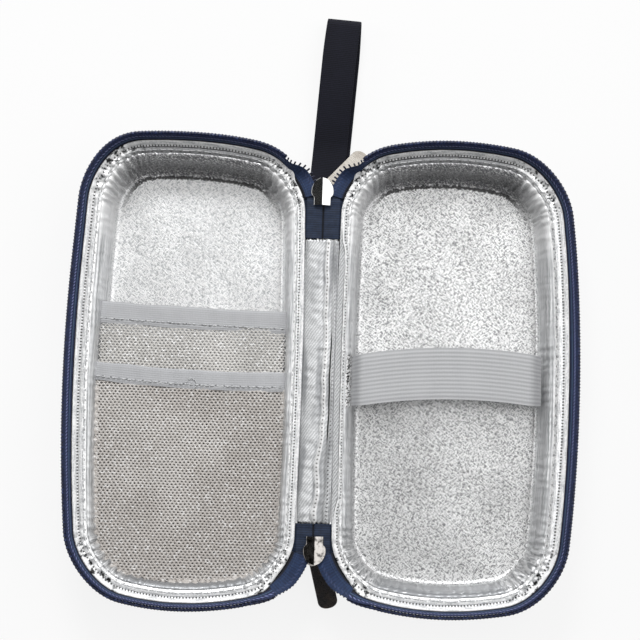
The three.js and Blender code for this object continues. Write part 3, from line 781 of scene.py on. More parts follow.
def thread_look(name, color):
    look = Look(name)
    u, v = look.flat()
    at = look.place()
    twist = half_wave(look, u + v, 0.45)
    shade = look.mix(look.between(look.noise(at, 0.8), 0.3, 0.7), "a9abad", color)
    return look.finish(shade, 0.5, 0.0, look.bump(twist, 0.08, 0.7))


# Pieces of both halves
SKIN_TOP = 21.9


def wall_points(depth, top, steps):
    """The wall at a depth under the case's outside, from the floor's edge up: insets and heights."""
    slope = DRAFT / (WALL_TOP - FLOOR_ROUND)
    lean = math.hypot(1, slope)
    turn = np.linspace(math.pi / 2, 0, steps)
    radius = FLOOR_ROUND - depth
    inset = DRAFT + FLOOR_ROUND - radius * np.cos(turn)
    z = FLOOR_ROUND - radius * np.sin(turn)
    up = np.linspace(FLOOR_ROUND, top, steps)
    rising = DRAFT + depth * lean - slope * (up - FLOOR_ROUND)
    return np.concatenate([np.stack([inset, z], -1)[:-1], np.stack([rising, up], -1)])


def tray_rings(at, profile, floor_steps):
    """Rings of a tray's skin: its floor from the middle out, then its wall. The first side goes round."""
    edge = ring(at, profile[0][0])
    shares = np.linspace(0.03, 1, floor_steps, endpoint=False)
    floor = np.stack([np.column_stack([edge * s, np.full(len(at), profile[0][1])]) for s in shares], 1)
    wall = np.stack([np.column_stack([ring(at, i), np.full(len(at), z)]) for i, z in profile], 1)
    return np.concatenate([floor, wall], 1)


def tray_solid(name, half, depths, step, look, wobble=None):
    """A closed skin between two depths, capped by its floor."""
    at = stations(step * COARSE)
    outside, inner = (tray_rings(at, wall_points(depth, SKIN_TOP, 8), 8) for depth in depths)
    points = np.concatenate([outside, inner[:, ::-1]], 1)
    if wobble is not None:
        points = wobble(at, points)
    made = Shape().grid(placed(points, half), at, lengths(points[0]), loop_u=True, caps=True)
    return made.object(name, look, sharp=50)


def outer_shell(half, look):
    """The moulded shell: cloth pressed over a board, with faint dents and a welt near its top."""
    seed = 11 + HALVES.index(half)

    def wobble(at, points):
        z = points[..., 2]
        dent = 0.12 * ripple(at[:, None], z / 9, seed, 9, 90, 25) * smooth((z - 1) / 8)
        points[..., :2] += outward(at)[:, None] * dent[..., None]
        return points

    made = tray_solid(half + "_shell", half, (0.15, 0.95), 1.6, look, wobble)
    return fixed(made, half, "outer_cloth", half + "_outer_shell")


def shell_welt(half, look):
    """A thin piped seam round the outside, under the zipper."""
    at = stations(1.2 * COARSE)
    path = np.column_stack([ring(at, 0.38), np.full(len(at), 20.3)])
    made = Shape().tube(placed(path, half), 0.5, 10, (0, 0, 1), loop=True).object(half + "_welt", look)
    return fixed(made, half, "outer_cloth")


def foam(half, look):
    made = tray_solid(half + "_foam", half, (1.3, 4.5), 3.0, look)
    return fixed(made, half, "insulation_foam", half + "_insulation_foam")


# The liner's lip and wall, as insets from the rim and heights
LIP = ((4.1, 22.45), (4.5, 22.75), (5.2, 22.6), (6.0, 22.0), (6.6, 21.2), (7.0, 20.0))
WALL = (
    (7.4, 18.5), (7.75, 15.5), (8.05, 12.0), (8.4, 9.0), (8.9, 7.2), (9.8, 6.0), (11.0, 5.55), (12.5, 5.5),
)


def liner(half, look):
    """The foil tray: a stitched lip, walls creased at the corners, and a gently uneven floor."""
    seed = 21 + HALVES.index(half)
    at = stations(0.8 * COARSE)
    s = at[:, None]
    profile = resampled(chaikin(np.array(LIP + WALL), 2), round(40 / COARSE))[::-1]
    points = tray_rings(at, profile, round(34 / COARSE))
    x, y, z = (points[..., k] for k in range(3))
    level = np.arange(points.shape[1])[None, :] / points.shape[1] * 10
    corner = corner_share(at, 17.0)
    on_wall = smooth((z - 5.6) / 3.5)
    under_lip = smooth((23.0 - z) / 2.0)
    fold = pinched(ripple(s, level * 0.5, seed, 26, 11, 3.0))
    crinkle = ripple(s, level * 1.2, seed + 5, 30, 6, 1.9)
    push = on_wall * (fold * (0.12 + 0.75 * corner) + (0.05 + 0.28 * corner) * crinkle)
    points[..., :2] -= outward(at)[:, None] * (push * (0.25 + 0.75 * under_lip))[..., None]
    z += on_wall * (0.06 + 0.5 * corner) * fold * (1 - under_lip)
    swell = np.zeros(x.shape)
    chance = np.random.default_rng(seed + 9)
    for _ in range(14):
        angle, size = chance.uniform(0, math.pi), chance.uniform(9, 42)
        way = (x * math.cos(angle) + y * math.sin(angle)) * 2 * math.pi / size
        swell += np.sin(way + chance.uniform(0, 6.3)) * size / 42
    z += (1 - on_wall) * swell * 0.05
    steps = points.shape[1] - len(profile)
    vs = np.concatenate([np.linspace(3, 100, steps, endpoint=False), 100 + lengths(profile)])
    made = Shape().grid(placed(points, half), at, vs, loop_u=True).object(half + "_liner", look, closed=False)
    return fixed(made, half, "foil_liner", half + "_foil_liner")


# The rim roll's ridge and inner edge, across it, and how far its bead moves in beside the spine
RIDGE = 2.3
ROLL_EDGE = 4.5
HINGE_SHIFT = 1.65


def roll_reach(distance, half):
    """How far the rim roll stands out over the root of the tape."""
    lean = lean_at(distance, half)
    return 1.6 * smooth(lean / SIDE_LEAN) - 0.6 * smooth((lean - SIDE_LEAN) / (END_LEAN - SIDE_LEAN))


def rim_roll(half, look):
    """Foil rolled over the rim: a bead that lies on the tape's root, a sewn groove, and a slope inside it."""
    seed = 31 + HALVES.index(half)
    at = stations(0.7 * COARSE)
    s = at[:, None]
    reach = roll_reach(at, half)[:, None]
    corner = corner_share(at, 15.0)
    beside_spine = (half == "base") * smooth((66 - from_hinge(at)) / 10)[:, None]
    edge = TAPE_Z + np.maximum(reach - TAPE_ROOT, 0) * np.tan(lean_at(at, half))[:, None] + 0.3
    bead = np.linspace(0, 1, 10)[None, :]
    slope = np.linspace(0, 1, 12)[None, 1:]
    v = np.concatenate([bead * RIDGE, RIDGE + slope * 3.8], 1)
    bead_z = edge + (23.0 - edge) * smooth(bead) + 0.5 * np.sin(math.pi * bead) ** 0.7
    bead_z = bead_z - 0.55 * beside_spine * (1 - smooth((bead - 0.3) / 0.25))
    slope_z = 23.0 - 0.4 * slope + 0.4 * np.abs(np.sin(math.pi * slope)) ** 0.8 + 0 * s
    start = HINGE_SHIFT * beside_spine - reach
    bead_inset = bead * RIDGE - reach + HINGE_SHIFT * beside_spine * smooth(bead / 0.4)
    inset = np.concatenate([bead_inset, RIDGE + start + slope * (ROLL_EDGE - RIDGE - start)], 1)
    body = np.sin(math.pi * np.clip(v / 6.1, 0.02, 0.98))
    uneven = ripple(s, v * 0.4, seed, 12, 16, 4)
    crush = pinched(ripple(s, v * 0.8, seed + 4, 20, 8, 2.4))
    z = np.concatenate([bead_z, slope_z], 1) + (0.06 * uneven + 0.42 * corner * crush) * body
    inset = inset + (0.05 * uneven + 0.30 * corner * crush) * body
    low = np.linspace(ROLL_EDGE - 0.1, 0.1, 5)[None, :] + 0 * s
    inset = np.concatenate([inset, low], 1)
    z = np.concatenate([z, np.full(low.shape, 22.3)], 1)
    points = np.concatenate([ring(s + 0 * inset, inset), z[..., None]], -1)
    vs = np.concatenate([v[0], np.linspace(7, 11, 5)])
    made = Shape().grid(placed(points, half), at, vs, loop_u=True, loop_v=True)
    return fixed(made.object(half + "_rim_roll", look), half, "foil_twill", half + "_rim_binding")


def lip_stitches(half, look):
    """A dashed line of thread round the liner's lip."""
    chance = np.random.default_rng(41 + HALVES.index(half))
    shape = Shape()
    rise = np.array([-0.3, 0.0, 0.12, 0.12, 0.0, -0.3]) * 0.9
    way = np.array([-0.5, -0.42, -0.2, 0.2, 0.42, 0.5]) * 3.0
    for distance in stations(3.6):
        d = distance + chance.normal(0, 0.12) + way
        inset = 3.2 + chance.normal(0, 0.08)
        path = np.column_stack([ring(d, np.full(6, inset)), 23.28 + rise])
        shape.tube(placed(path, half), 0.24, 6, (0, 0, 1))
    return fixed(shape.object(half + "_lip_stitches", look), half, "grey_binding")


# The hem under the rim roll, as insets and heights, and the tape's thickness
TAPE_HEM = ((-0.2, 22.1), (0.6, 22.0), (0.6, 22.2), (-0.3, 22.3))
TAPE_THICK = 0.5


def tape_rows(at, half, wider=1.0):
    """The tape's closed section at distances along the rim: across it and back, then its hem."""
    across = np.concatenate([np.linspace(0.2, TAPE_WIDTH, 11), np.linspace(TAPE_WIDTH, 0.2, 11)])
    off = np.concatenate([np.full(10, TAPE_THICK / 2), [0, 0], np.full(10, -TAPE_THICK / 2)])
    rows = tape_point(at[:, None], across * np.reshape(wider, (-1, 1)), off[None, :], half)
    hem = [np.concatenate([ring(at, inset), np.full((len(at), 1), z)], 1) for inset, z in TAPE_HEM]
    return np.concatenate([rows, np.stack(hem, 1)], 1), np.concatenate([across, [-0.2, -1.2, -1.4, -0.4]])


def zipper_tape(half, look):
    at = stations(1.0 * COARSE, WEB_END, PERIMETER - WEB_END)
    rows, vs = tape_rows(at, half)
    rows[:, 6:16, 2] += 0.06 * ripple(at, 0, 51 + HALVES.index(half), 14, 30, 7)[:, None]
    made = strip(half + "_tape", placed(rows, half), at, vs, look, 60)
    return fixed(made, half, "zipper_tape", half + "_zipper_tape")


# One turn of the coil: the share of its pitch, how far across the tape, and how far off its face
TOOTH = (
    (0.00, 3.9, -1.75),
    (0.10, 3.9, -0.85),
    (0.22, 5.0, -0.72),
    (0.34, 5.7, -0.66),
    (0.42, 6.00, -0.80),
    (0.50, 6.10, -1.15),
    (0.58, 6.00, -1.55),
    (0.68, 5.7, -1.75),
    (0.84, 5.0, -1.80),
)


def zipper_coil(half, look):
    """A zipper's coil along the rim, on its cord: each turn runs out to a head and back."""
    start, end = WEB_END + 0.4, PERIMETER - WEB_END - 0.4
    count = round((end - start) / TEETH_PITCH)
    share, across, off = np.tile(TOOTH, (count, 1)).T
    turns = np.repeat(np.arange(count), len(TOOTH))
    distance = start + (turns + share) * (end - start) / count
    beside = np.column_stack([rim_ahead(distance), np.zeros(len(distance))])
    shape = Shape().tube(tape_point(distance, across, off, half), 0.34, 6, beside)
    along = np.linspace(start, end, count + 1)
    shape.tube(tape_point(along, 5.45, -1.2, half), (0.72, 0.5), 8, (0, 0, 1))
    shape.points = [placed(p, half) for p in shape.points]
    return fixed(shape.object(half + "_coil", look), half, "zipper_coil", half + "_zipper_coil")


def web_start():
    at = np.linspace(SIDE_RUN, WEB_END, 400)
    return float(np.interp(WEB_START_Y, rim(at)[:, 1], at))


# The webs: how much wider their tape is, the pitch of their teeth, and how far these stand out
WEB_SPREAD = {"top": 0.0, "bottom": 0.2}
WEB_PITCH = {"top": 1.3, "bottom": 1.15}
WEB_TIPS = {"top": 1.0, "bottom": 0.83}
TEETH_REACH = np.array([4.6, 5.6, 6.6, 7.3, 7.72, 7.78])
TEETH_OFF = np.array([-0.55, -0.6, -0.5, -0.35, -0.3, -0.3])
TEETH_THICK = np.array([0.2, 0.36, 0.4, 0.4, 0.4, 0.28])


def web(half, end, tape, teeth):
    """The stretch of tape and teeth between the half and the spine beside a slider."""
    ahead = 1 if (end == "top") == (half == "base") else -1
    start = web_start()
    at = stations(0.9 * COARSE, start, WEB_END)
    if ahead < 0:
        at = PERIMETER - at[::-1]

    def widening(distance):
        share = (np.minimum(distance, PERIMETER - distance) - start) / (WEB_END - start)
        return 1 + WEB_SPREAD[end] * (1 - smooth((share - 0.55) / 0.45))

    def fold_end(distance, inset):
        x, y = ring(np.array([distance]), [inset])[0]
        return tuple(placed(np.array([x, y * ahead, HINGE_Z]), half) * MM)

    name = f"{half}_web_{end}"
    rows, vs = tape_rows(at, half, widening(at))
    cloth = strip(name, placed(rows, half), at, vs, tape, 60)
    bars = Shape()
    for d in np.arange(at[0] + 0.7, at[-1], WEB_PITCH[end]):
        path = tape_point(np.full(6, d), TEETH_REACH * WEB_TIPS[end] * widening(d), TEETH_OFF, half)
        bars.tube(placed(path, half), TEETH_THICK, 8, (0, 0, 1))
    comb = bars.object(name + "_teeth", teeth)
    for made, slot in ((cloth, "zipper_tape"), (comb, "zipper_coil")):
        fold_end(start, -5.0)
        fold_end(WEB_END, 0.0)
        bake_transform(made)
    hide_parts(f"{half}_zipper_web_{end}")


# The spine

# Where the lining's dotted cord and crease are, as shares of its width, and its width on its map. The crease
# is painted dark, as shade.
CORD_SHARE = 0.685
CREASE_SHARE = 0.845
LINING_MAP = 15.0


def spine_lining(look):
    """Foil twill between the halves, in long uneven folds, frayed at both ends."""
    top, bottom, half_span = 58.5, -63.8, 7.3
    ys = np.arange(bottom, top + 0.01, 0.6 * COARSE)
    share = np.linspace(0, 1, 57)
    y = ys[:, None] + 0 * share
    arched = np.sin(math.pi * share)
    drift = (0.03 * ripple(ys, 0, 61, 7, 60, 18, 130) - 0.18 * smooth((-20 - ys) / 26))[:, None]
    grooves = np.array([0.0, 0.58, CREASE_SHARE, 1.0])
    fold = np.clip(np.searchsorted(grooves, share, side="right") - 1, 0, 2)
    within = (share - grooves[fold]) / (grooves[fold + 1] - grooves[fold])
    wave = np.sin(math.pi * np.clip(within, 0, 1)) ** 0.75 * np.array([0.8, 1.0, 0.7])[fold]
    crease = 0.10 * ripple(y, share * 9, 62, 16, 12, 3, 130)
    tall = 0.75 + 0.15 * ripple(ys, 0, 63, 6, 70, 25, 130)[:, None]
    z = np.where((share < 0.04) | (share > 0.96), 22.15, 22.55 + wave * tall + crease * arched)
    sway = 0.25 * ripple(y, share * 3, 64, 8, 30, 8, 130) * arched
    x = SPINE_X + half_span * (2 * (share + drift * arched) - 1) + sway
    end = smooth((np.abs(ys - (top + bottom) / 2) - 58.5) / 2.6)[:, None]
    frayed = np.abs((share * 11) % 1 - 0.5) * 2.6 - 0.8
    face = spread(x, y - end * frayed * np.sign(ys)[:, None], z)
    made = slab("spine_lining", face, 0.35, ys, share * LINING_MAP, LINING_MAP, look)
    return fixed(made, "spine", "foil_twill", "spine_foil_lining")


def spine_cloth(look):
    """The outside cloth behind the spine."""
    half_span, thick = 6.9, 0.5
    ys = np.arange(-66.8, 61.51, 1.2 * COARSE)
    share = np.linspace(0, 1, 21)
    sag = 0.12 * ripple(ys[:, None], share * 4, 71, 10, 50, 12, 140)
    z = 20.85 + sag - 0.25 * np.sin(math.pi * share)
    face = spread(SPINE_X + half_span * (2 * share - 1), ys[:, None], z)
    made = slab("spine_cloth", face, thick, ys, share * 14, 14, look)
    return fixed(made, "spine", "outer_cloth", "spine_outer_cloth")


def closed_chain(end, low, high, longest, tape, teeth):
    """The zipped stretch between a slider and the spine: two tapes that meet at a dark line."""
    ys = np.arange(low, high + 0.01, 0.5)
    under = smooth((np.abs(ys) - 75.2) / 0.8)[:, None]
    half_span = (7 + 1.5 * (ys / HALF_LENGTH) ** 2 + 0.9)[:, None]
    share = np.linspace(-1, 1, 61)
    groove = 0.6 * np.exp(-((share * 20) ** 2))
    z = 22.95 - groove - 0.95 * smooth((np.abs(share) - 0.8) / 0.12) - 0.4 * under
    z = z + 0.08 * ripple(ys[:, None], share * 3, 81, 6, 8, 3, 60)
    face = spread(SPINE_X + half_span * share, ys[:, None], z)
    name = "chain_" + end
    made = slab(name, face, 0.45, ys, np.abs(share) * 8, 0, tape, 50)
    fixed(made, "spine", "zipper_tape", "closed_" + name)
    shape = Shape()
    count = int((min(high - low, longest) - 1) / TEETH_PITCH)
    start = low + 0.6 if end == "top" else high - 0.6 - count * TEETH_PITCH
    t = np.linspace(0, count, count * 12 + 1)
    turn = 2 * math.pi * t
    for side in (-1, 1):
        across = SPINE_X + side * (1.1 + np.cos(turn))
        path = spread(across, start + t * TEETH_PITCH, 21.95 + 0.32 * np.sin(turn))
        shape.tube(path, 0.28, 6, (0, 1, 0))
    return fixed(shape.object(name + "_teeth", teeth), "spine", "zipper_coil")


# Sliders and pulls

# A slider's outline as shares of its half length and of its bulge, from its square end to its nose
SLIDER_EDGE = (
    (-1, 0.0), (-0.5, 0.0), (-0.4, 0.05), (-0.34, 0.45), (-0.2, 0.95), (0.0, 1.05),
    (0.25, 0.93), (0.5, 0.5), (0.72, -0.12), (0.88, -1.0), (0.97, -2.0), (1.0, -2.8),
)
SLIDER_HALF_LENGTH = 6.0
SLIDER_NECK = 3.6
SLIDER_BULGE = 1.2
SLIDER_RIDGE = 25.1
SLIDER_FALL = 0.27
SLIDER_BEVEL = 0.2
PLATE_SHIFT = {"top": (-0.6, 1.0, 0.0), "bottom": (-0.8, -0.6, 0.0)}
# The post's steps along the slider, each with its share of the post's width
POST = ((3.0, 0.5), (3.5, 1), (4.4, 1), (4.9, 0.5))
CROWN_ARCH = (
    (0, -3.0, 20.1), (0, -3.0, 18.2), (0, -2.4, 17.45), (0, -1.2, 17.35),
    (0, 1.2, 17.35), (0, 2.4, 17.45), (0, 3.0, 18.2), (0, 3.0, 20.1),
)


def back_plate(w):
    """The tent-shaped plate's section where its half width is w."""
    inner = max(w - SLIDER_BEVEL, 0.3)
    roof = [(x, SLIDER_RIDGE - SLIDER_FALL * x) for x in (inner, 0.08)]
    return mirrored([(inner, 23.55), (w, 23.7), (w, SLIDER_RIDGE - SLIDER_FALL * w - 0.1), *roof])


def front_plate(w):
    """The flat plate's section, under the tape."""
    return mirrored([(w - 0.4, 20.35), (w - 0.2, 20.5), (w - 0.2, 20.95), (w - 0.4, 21.05)])


def slider(end, y, turned, look):
    """The slider: a tent-shaped back plate, a flat front plate under the tape, and the post between."""
    edge = resampled(chaikin(SLIDER_EDGE, 3), 41)
    way = edge[:, 0] * SLIDER_HALF_LENGTH
    wide = SLIDER_NECK + edge[:, 1] * SLIDER_BULGE
    shape = Shape()
    for section, shift in ((back_plate, PLATE_SHIFT[end]), (front_plate, (0, 0, 0))):
        rows = np.array([[(x, l, z) for x, z in section(w)] for l, w in zip(way, wide)]) + shift
        shape.grid(rows, way, np.arange(float(rows.shape[1])), loop_v=True, caps=True)
    corners = ((-0.75, 20.8), (0.75, 20.8), (0.75, 23.9), (-0.75, 23.9))
    post = np.array([[(x * k, l, z) for x, z in corners] for l, k in POST])
    shape.grid(post, [0, 1, 2, 3], [0, 1, 2, 3], loop_v=True, caps=True)
    spin = -1 if turned else 1
    for points in shape.points:
        points[:, :2] *= spin
        points += (SPINE_X, y, 0)
    body = end + "_slider"
    fixed(shape.object(body, look, sharp=14), body, "nickel", body + "_body")
    arch = chaikin(CROWN_ARCH, 2) * (1, spin, 1) + (SPINE_X, y, 0)
    bridge = Shape().tube(arch, (0.9, 0.4), 12, (1, 0, 0)).object(end + "_crown", look)
    fixed(bridge, body, "nickel", body + "_crown")


def plate(name, loops, thick, bevel, matrix, look):
    """A flat plate cut to loops, the first its outline and the rest its holes, with rounded edges."""
    curve = bpy.data.curves.new(name, "CURVE")
    curve.dimensions = "2D"
    curve.fill_mode = "BOTH"
    curve.extrude = (thick / 2 - bevel) * MM
    curve.bevel_depth = bevel * MM
    curve.bevel_resolution = 3
    curve.offset = -bevel * MM
    for loop in loops:
        spline = curve.splines.new("POLY")
        spline.points.add(len(loop) - 1)
        for point, (x, y) in zip(spline.points, loop):
            point.co = (x * MM, y * MM, 0, 1)
        spline.use_cyclic_u = True
    source = in_scene(name + "_line", curve)
    bpy.context.view_layer.update()
    solid = source.evaluated_get(bpy.context.evaluated_depsgraph_get())
    mesh = bpy.data.meshes.new_from_object(solid)
    bpy.data.objects.remove(source)
    mesh.transform(matrix)
    mesh.materials.clear()
    mesh.materials.append(look)
    mesh.polygons.foreach_set("use_smooth", [True] * len(mesh.polygons))
    mesh.set_sharp_from_angle(angle=math.radians(35))
    return in_scene(name, mesh)


def rounded_box(middle, half_wide, low_y, high_y, radii, steps=8):
    """A rectangle's outline with its corners rounded: radii at the low and the high y."""
    line = []
    low, high = radii
    corners = ((1, low_y + low, -90, low), (1, high_y - high, 0, high), (-1, high_y - high, 90, high))
    for side, cy, start, r in (*corners, (-1, low_y + low, 180, low)):
        cx = middle + side * (half_wide - r)
        for k in range(steps + 1):
            a = math.radians(start + 90 * k / steps)
            line.append((cx + r * math.cos(a), cy + r * math.sin(a)))
    return line


def pull(end, y, yaw, droop, slide, look):
    """A slider's pull tab: a flat plate with a slot for the crown, hanging outward and down."""
    outline = rounded_box(slide, 4.3, -0.7, 31.3, (1.6, 3.9))
    slot = rounded_box(slide, 3.0, 0.7, 4.9, (0.8, 0.8), 4)
    turn = Matrix.Rotation(math.radians(yaw), 4, "Z") @ Matrix.Rotation(math.radians(-droop), 4, "X")
    place = Matrix.Translation(Vector((SPINE_X, y, PULL_Z)) * MM) @ turn
    made = plate(end + "_pull_plate", (outline, slot), 1.2, 0.25, place, look)
    return fixed(made, end + "_pull", "dark_nickel", end + "_pull_tab")


# Wrist strap
def strap_path():
    """The webbing's centreline as (y, z): down to the table, out to the tip, and back over itself."""
    def slope(y):
        s = np.clip((y - 61.5) / (104 - 61.5), 0, 1)
        return 0.55 + 17.8 * (1 - s) ** 1.25

    down = [(y, slope(y)) for y in np.linspace(60.2, 104, 15)]
    run = [(y, 0.56) for y in np.linspace(110, 155, 6)]
    angles = np.linspace(0.25, math.pi - 0.1, 9)
    turn = [(158.2 + 3.8 * math.sin(a), 4.35 - 3.8 * math.cos(a)) for a in angles]
    back = [(152, 8.3), (143, 8.4), (133, 8.0), (125, 7.2), (117, 6.0), (110, 4.7), (103, 3.4)]
    back.append((97, slope(97) + 1.6))
    up = [(y, slope(y) + 1.05) for y in np.linspace(92, 61.0, 9)]
    return np.array(down + run + turn + back + up)


def webbing(look):
    path = resampled(chaikin(strap_path(), 2), round(420 / COARSE))
    way = lengths(path)
    share = way / way[-1]
    aside = 0.8 - 1.5 * smooth((share - 0.40) / 0.2)
    aside = aside * smooth(np.minimum(share, 1 - share) * 6)
    ahead = unit(np.gradient(path, axis=0))
    up = np.stack([-ahead[:, 1], ahead[:, 0]], -1)
    half_wide, half_thick = 7.6, 0.46
    edge = np.array([1.0, 0.993, 0.97, 0.8, 0.4, 0.0])
    ridge = np.array([0.0, 0.55, 0.9, 1.0, 0.96, 1.0])
    across = np.concatenate([edge, -edge[-2::-1], -edge[1:], edge[-2:0:-1]])
    height = np.concatenate([ridge, ridge[-2::-1], -ridge[1:], -ridge[-2:0:-1]])
    rib = 1 + 0.04 * np.sin(2 * math.pi * way / 1.7)
    x = SPINE_X + aside[:, None] + half_wide * across[None, :]
    y = path[:, :1] + up[:, :1] * height * half_thick * rib[:, None]
    z = path[:, 1:] + up[:, 1:] * height * half_thick * rib[:, None]
    points = spread(x, y, z)
    lean = math.radians(-4)
    dx, dy = points[..., 0] - SPINE_X, points[..., 1] - 61.5
    points[..., 0] = SPINE_X + dx * math.cos(lean) - dy * math.sin(lean)
    points[..., 1] = 61.5 + dx * math.sin(lean) + dy * math.cos(lean)
    vs = half_wide + np.concatenate([across[:11] * half_wide, 16 + across[11:] * half_wide])
    made = strip("wrist_webbing", points, way, vs, look, 70)
    return fixed(made, "wrist_loop", "webbing", "wrist_strap")


def strap_tab(look):
    """The sewn end of the webbing under the spine."""
    ys = np.linspace(49.8, 59.5, 24)
    share = np.linspace(-1, 1, 15)
    z = 19.75 + 0.05 * np.cos(ys[:, None] * 4.8) - 0.15 * share**4
    face, back = (spread(SPINE_X + 7.5 * share, ys[:, None], level) for level in (z, 18.1 + 0 * z))
    made = slab("strap_tab", face, back, ys, share * 7.6, 15, look, 50)
    return fixed(made, "spine", "webbing", "wrist_strap_tab")


# Pockets and elastic

# The crumpled foil beside the elastic's tucked end, whose light and shade are painted on the liner
TUCK_X, TUCK_Y = -42.1, -2.7


def inside(points, outline):
    """Whether each point is inside a closed outline."""
    x, y = points[:, 0], points[:, 1]
    hit = np.zeros(len(points), bool)
    for (ax, ay), (bx, by) in zip(outline, np.roll(outline, -1, 0)):
        cross = (ay > y) != (by > y)
        with np.errstate(divide="ignore", invalid="ignore"):
            hit ^= cross & (x < (bx - ax) * (y - ay) / (by - ay) + ax)
    return hit


def pocket_outline(inset, bottom, top):
    at = stations(1.5)
    line = placed(np.column_stack([ring(at, inset), np.zeros(len(at))]), "lid")[:, :2]
    line[:, 1] = np.clip(line[:, 1], bottom, top)
    return line


# The net's cells: their pitch, the shares of it that their holes take up, and the net's thickness
NET_X, NET_Y = 1.77, 1.19
HOLE_WIDE, HOLE_TALL = 0.56, 0.4
NET_THICK = 0.45


def net(name, node, outline, height, look):
    """A knitted net with a hole in each cell, laid over a height."""
    low, high = outline.min(0), outline.max(0)
    pitch_x, pitch_y = NET_X * COARSE, NET_Y * COARSE
    rows = int((high[1] - low[1]) / pitch_y) + 2
    columns = int((high[0] - low[0]) / pitch_x) + 2
    i, j = np.meshgrid(np.arange(columns), np.arange(rows), indexing="ij")
    centres = np.stack([low[0] + (i + (j % 2) * 0.5) * pitch_x, low[1] + j * pitch_y], -1).reshape(-1, 2)
    centres = centres[inside(centres, outline)]
    side = pitch_x / 2
    near = (pitch_y**2 - side**2) / (2 * pitch_y)
    tall = pitch_y - near
    cell = np.array([(side, near), (0, tall), (-side, near), (-side, -near), (0, -tall), (side, -near)])
    corners = (centres[:, None] + cell).reshape(-1, 2)
    keys, index = np.unique(np.round(corners, 3), axis=0, return_inverse=True)
    index = index.reshape(-1, 6)
    after = np.roll(np.arange(6), -1)
    wider = 1 + 0.35 * np.exp((centres[:, 1] - high[1]) / 3.0)
    holes = (centres[:, None] + cell * (HOLE_WIDE, HOLE_TALL) * wider[:, None, None]).reshape(-1, 2)
    hole = len(keys) + np.arange(len(holes)).reshape(-1, 6)
    flat = np.concatenate([keys, holes])
    total = len(flat)
    x, y = flat.T
    wander = np.stack([np.sin(y * 0.9 + x * 0.31) + np.sin(y * 0.23), np.sin(x * 0.7 + y * 0.4)], -1)
    moved = flat + 0.09 * wander
    z = height(*moved.T)
    half_thick = NET_THICK * np.where(np.arange(total) < len(keys), 0.5, 0.28)
    points = np.concatenate([np.column_stack([moved, z + way * half_thick]) for way in (1, -1)])
    tops = np.stack([index, index[:, after], hole[:, after], hole], -1).reshape(-1, 4)
    walls = np.stack([hole, hole[:, after], hole[:, after] + total, hole + total], -1).reshape(-1, 4)
    unders = np.stack([index, hole, hole[:, after], index[:, after]], -1).reshape(-1, 4) + total
    edges = np.sort(np.stack([index, index[:, after]], -1).reshape(-1, 2), 1)
    pairs, counts = np.unique(edges, axis=0, return_counts=True)
    rimmed = pairs[counts == 1]
    sides = np.column_stack([rimmed, rimmed[:, ::-1] + total])
    faces = np.concatenate([tops, walls, unders, sides])
    maps = np.concatenate([flat, flat])[faces]
    made = Shape().add(points, faces.tolist(), maps).object(name, look)
    return fixed(made, "lid", "pocket_mesh", node)


def front_height(x, y):
    dx = x - LID_X
    slack = 0.35 * np.sin(dx / 9.0 + y / 31.0) * np.sin(y / 17.0 + 0.6) + 0.22 * np.sin(dx / 4.3 - y / 8.0)
    return 18.35 + slack - 0.3 * smooth((y + 12) / 12)


def rear_height(x, y):
    dx = x - LID_X
    return 16.4 + 0.25 * np.sin(dx / 11.0 - y / 21.0) + 0.15 * np.sin(dx / 5.0 + y / 9.0)


def net_hem(name, inset, bottom, top, z, seed, look):
    """The net's sewn edge, gathered into small puckers along the wall."""
    line = pocket_outline(inset, bottom, top)
    keep = line[:, 1] < top - 0.5
    order = np.roll(np.arange(len(line)), -int(np.argmax(~keep & np.roll(keep, -1))) - 1)
    path = resampled(line[order][keep[order]], round(420 / COARSE))
    way = lengths(path)
    ahead = unit(np.gradient(path, axis=0))
    side = np.stack([-ahead[:, 1], ahead[:, 0]], -1)
    side *= np.sign((((LID_X, -40.0) - path) * side).sum(1))[:, None]
    puckers = ripple(way, 0, seed, 22, 7, 2.2, way[-1])
    shares = np.array([-1.1, -0.5, 0.2, 0.9, 1.6])
    rows = []
    for share, rise in zip(shares, (0.9, 0.75, 0.35, 0.1, -0.1)):
        inward = side * (share + 0.16 * puckers[:, None] * (share > 0))
        height = z + rise + 0.28 * puckers * (0.4 + 0.6 * (share > -0.6))
        rows.append(np.column_stack([path + inward, height]))
    return fixed(slab(name, np.stack(rows, 1), 0.3, way, shares, 4, look), "lid", "pocket_mesh")


def band(name, node, bottom, top, z, inset, tilt, sag, seed, look):
    """A pocket's ribbon binding from wall to wall, sagging a little, with ribs along it."""
    half_span = HALF_WIDTH - inset
    width = top - bottom
    share = np.linspace(-1, 1, round(120 / COARSE))
    across = np.linspace(0, 1, 41)
    middle = (bottom + top) / 2 - tilt * share - sag * (1 - share**2)
    uneven = 1 + 0.03 * ripple(share * 40, 0, seed, 5, 50, 14, 80)
    x = LID_X + share[:, None] * half_span
    y = middle[:, None] + (across - 0.5) * width * uneven[:, None]
    rib = 0.02 * np.cos(across * 2 * math.pi * 9)
    wave = 0.18 * ripple(share[:, None] * 40, across * 1.5, seed + 1, 8, 40, 8, 80)
    rounded = 0.28 * np.abs(across * 2 - 1) ** 6
    face = spread(x, y, z + 0.5 + rib + wave - rounded)
    back = spread(x, y, z - 0.35 + wave + rounded)
    made = slab(name, face, back, share * half_span, across * width, width, look, 60)
    fixed(made, "lid", "grey_binding", node)
    return share, middle, width


# One stitch: how far along and how high each point of its thread is
STITCH_ARCH = ((-0.75, 0.35), (-0.55, 0.66), (0, 0.72), (0.55, 0.66), (0.75, 0.35))


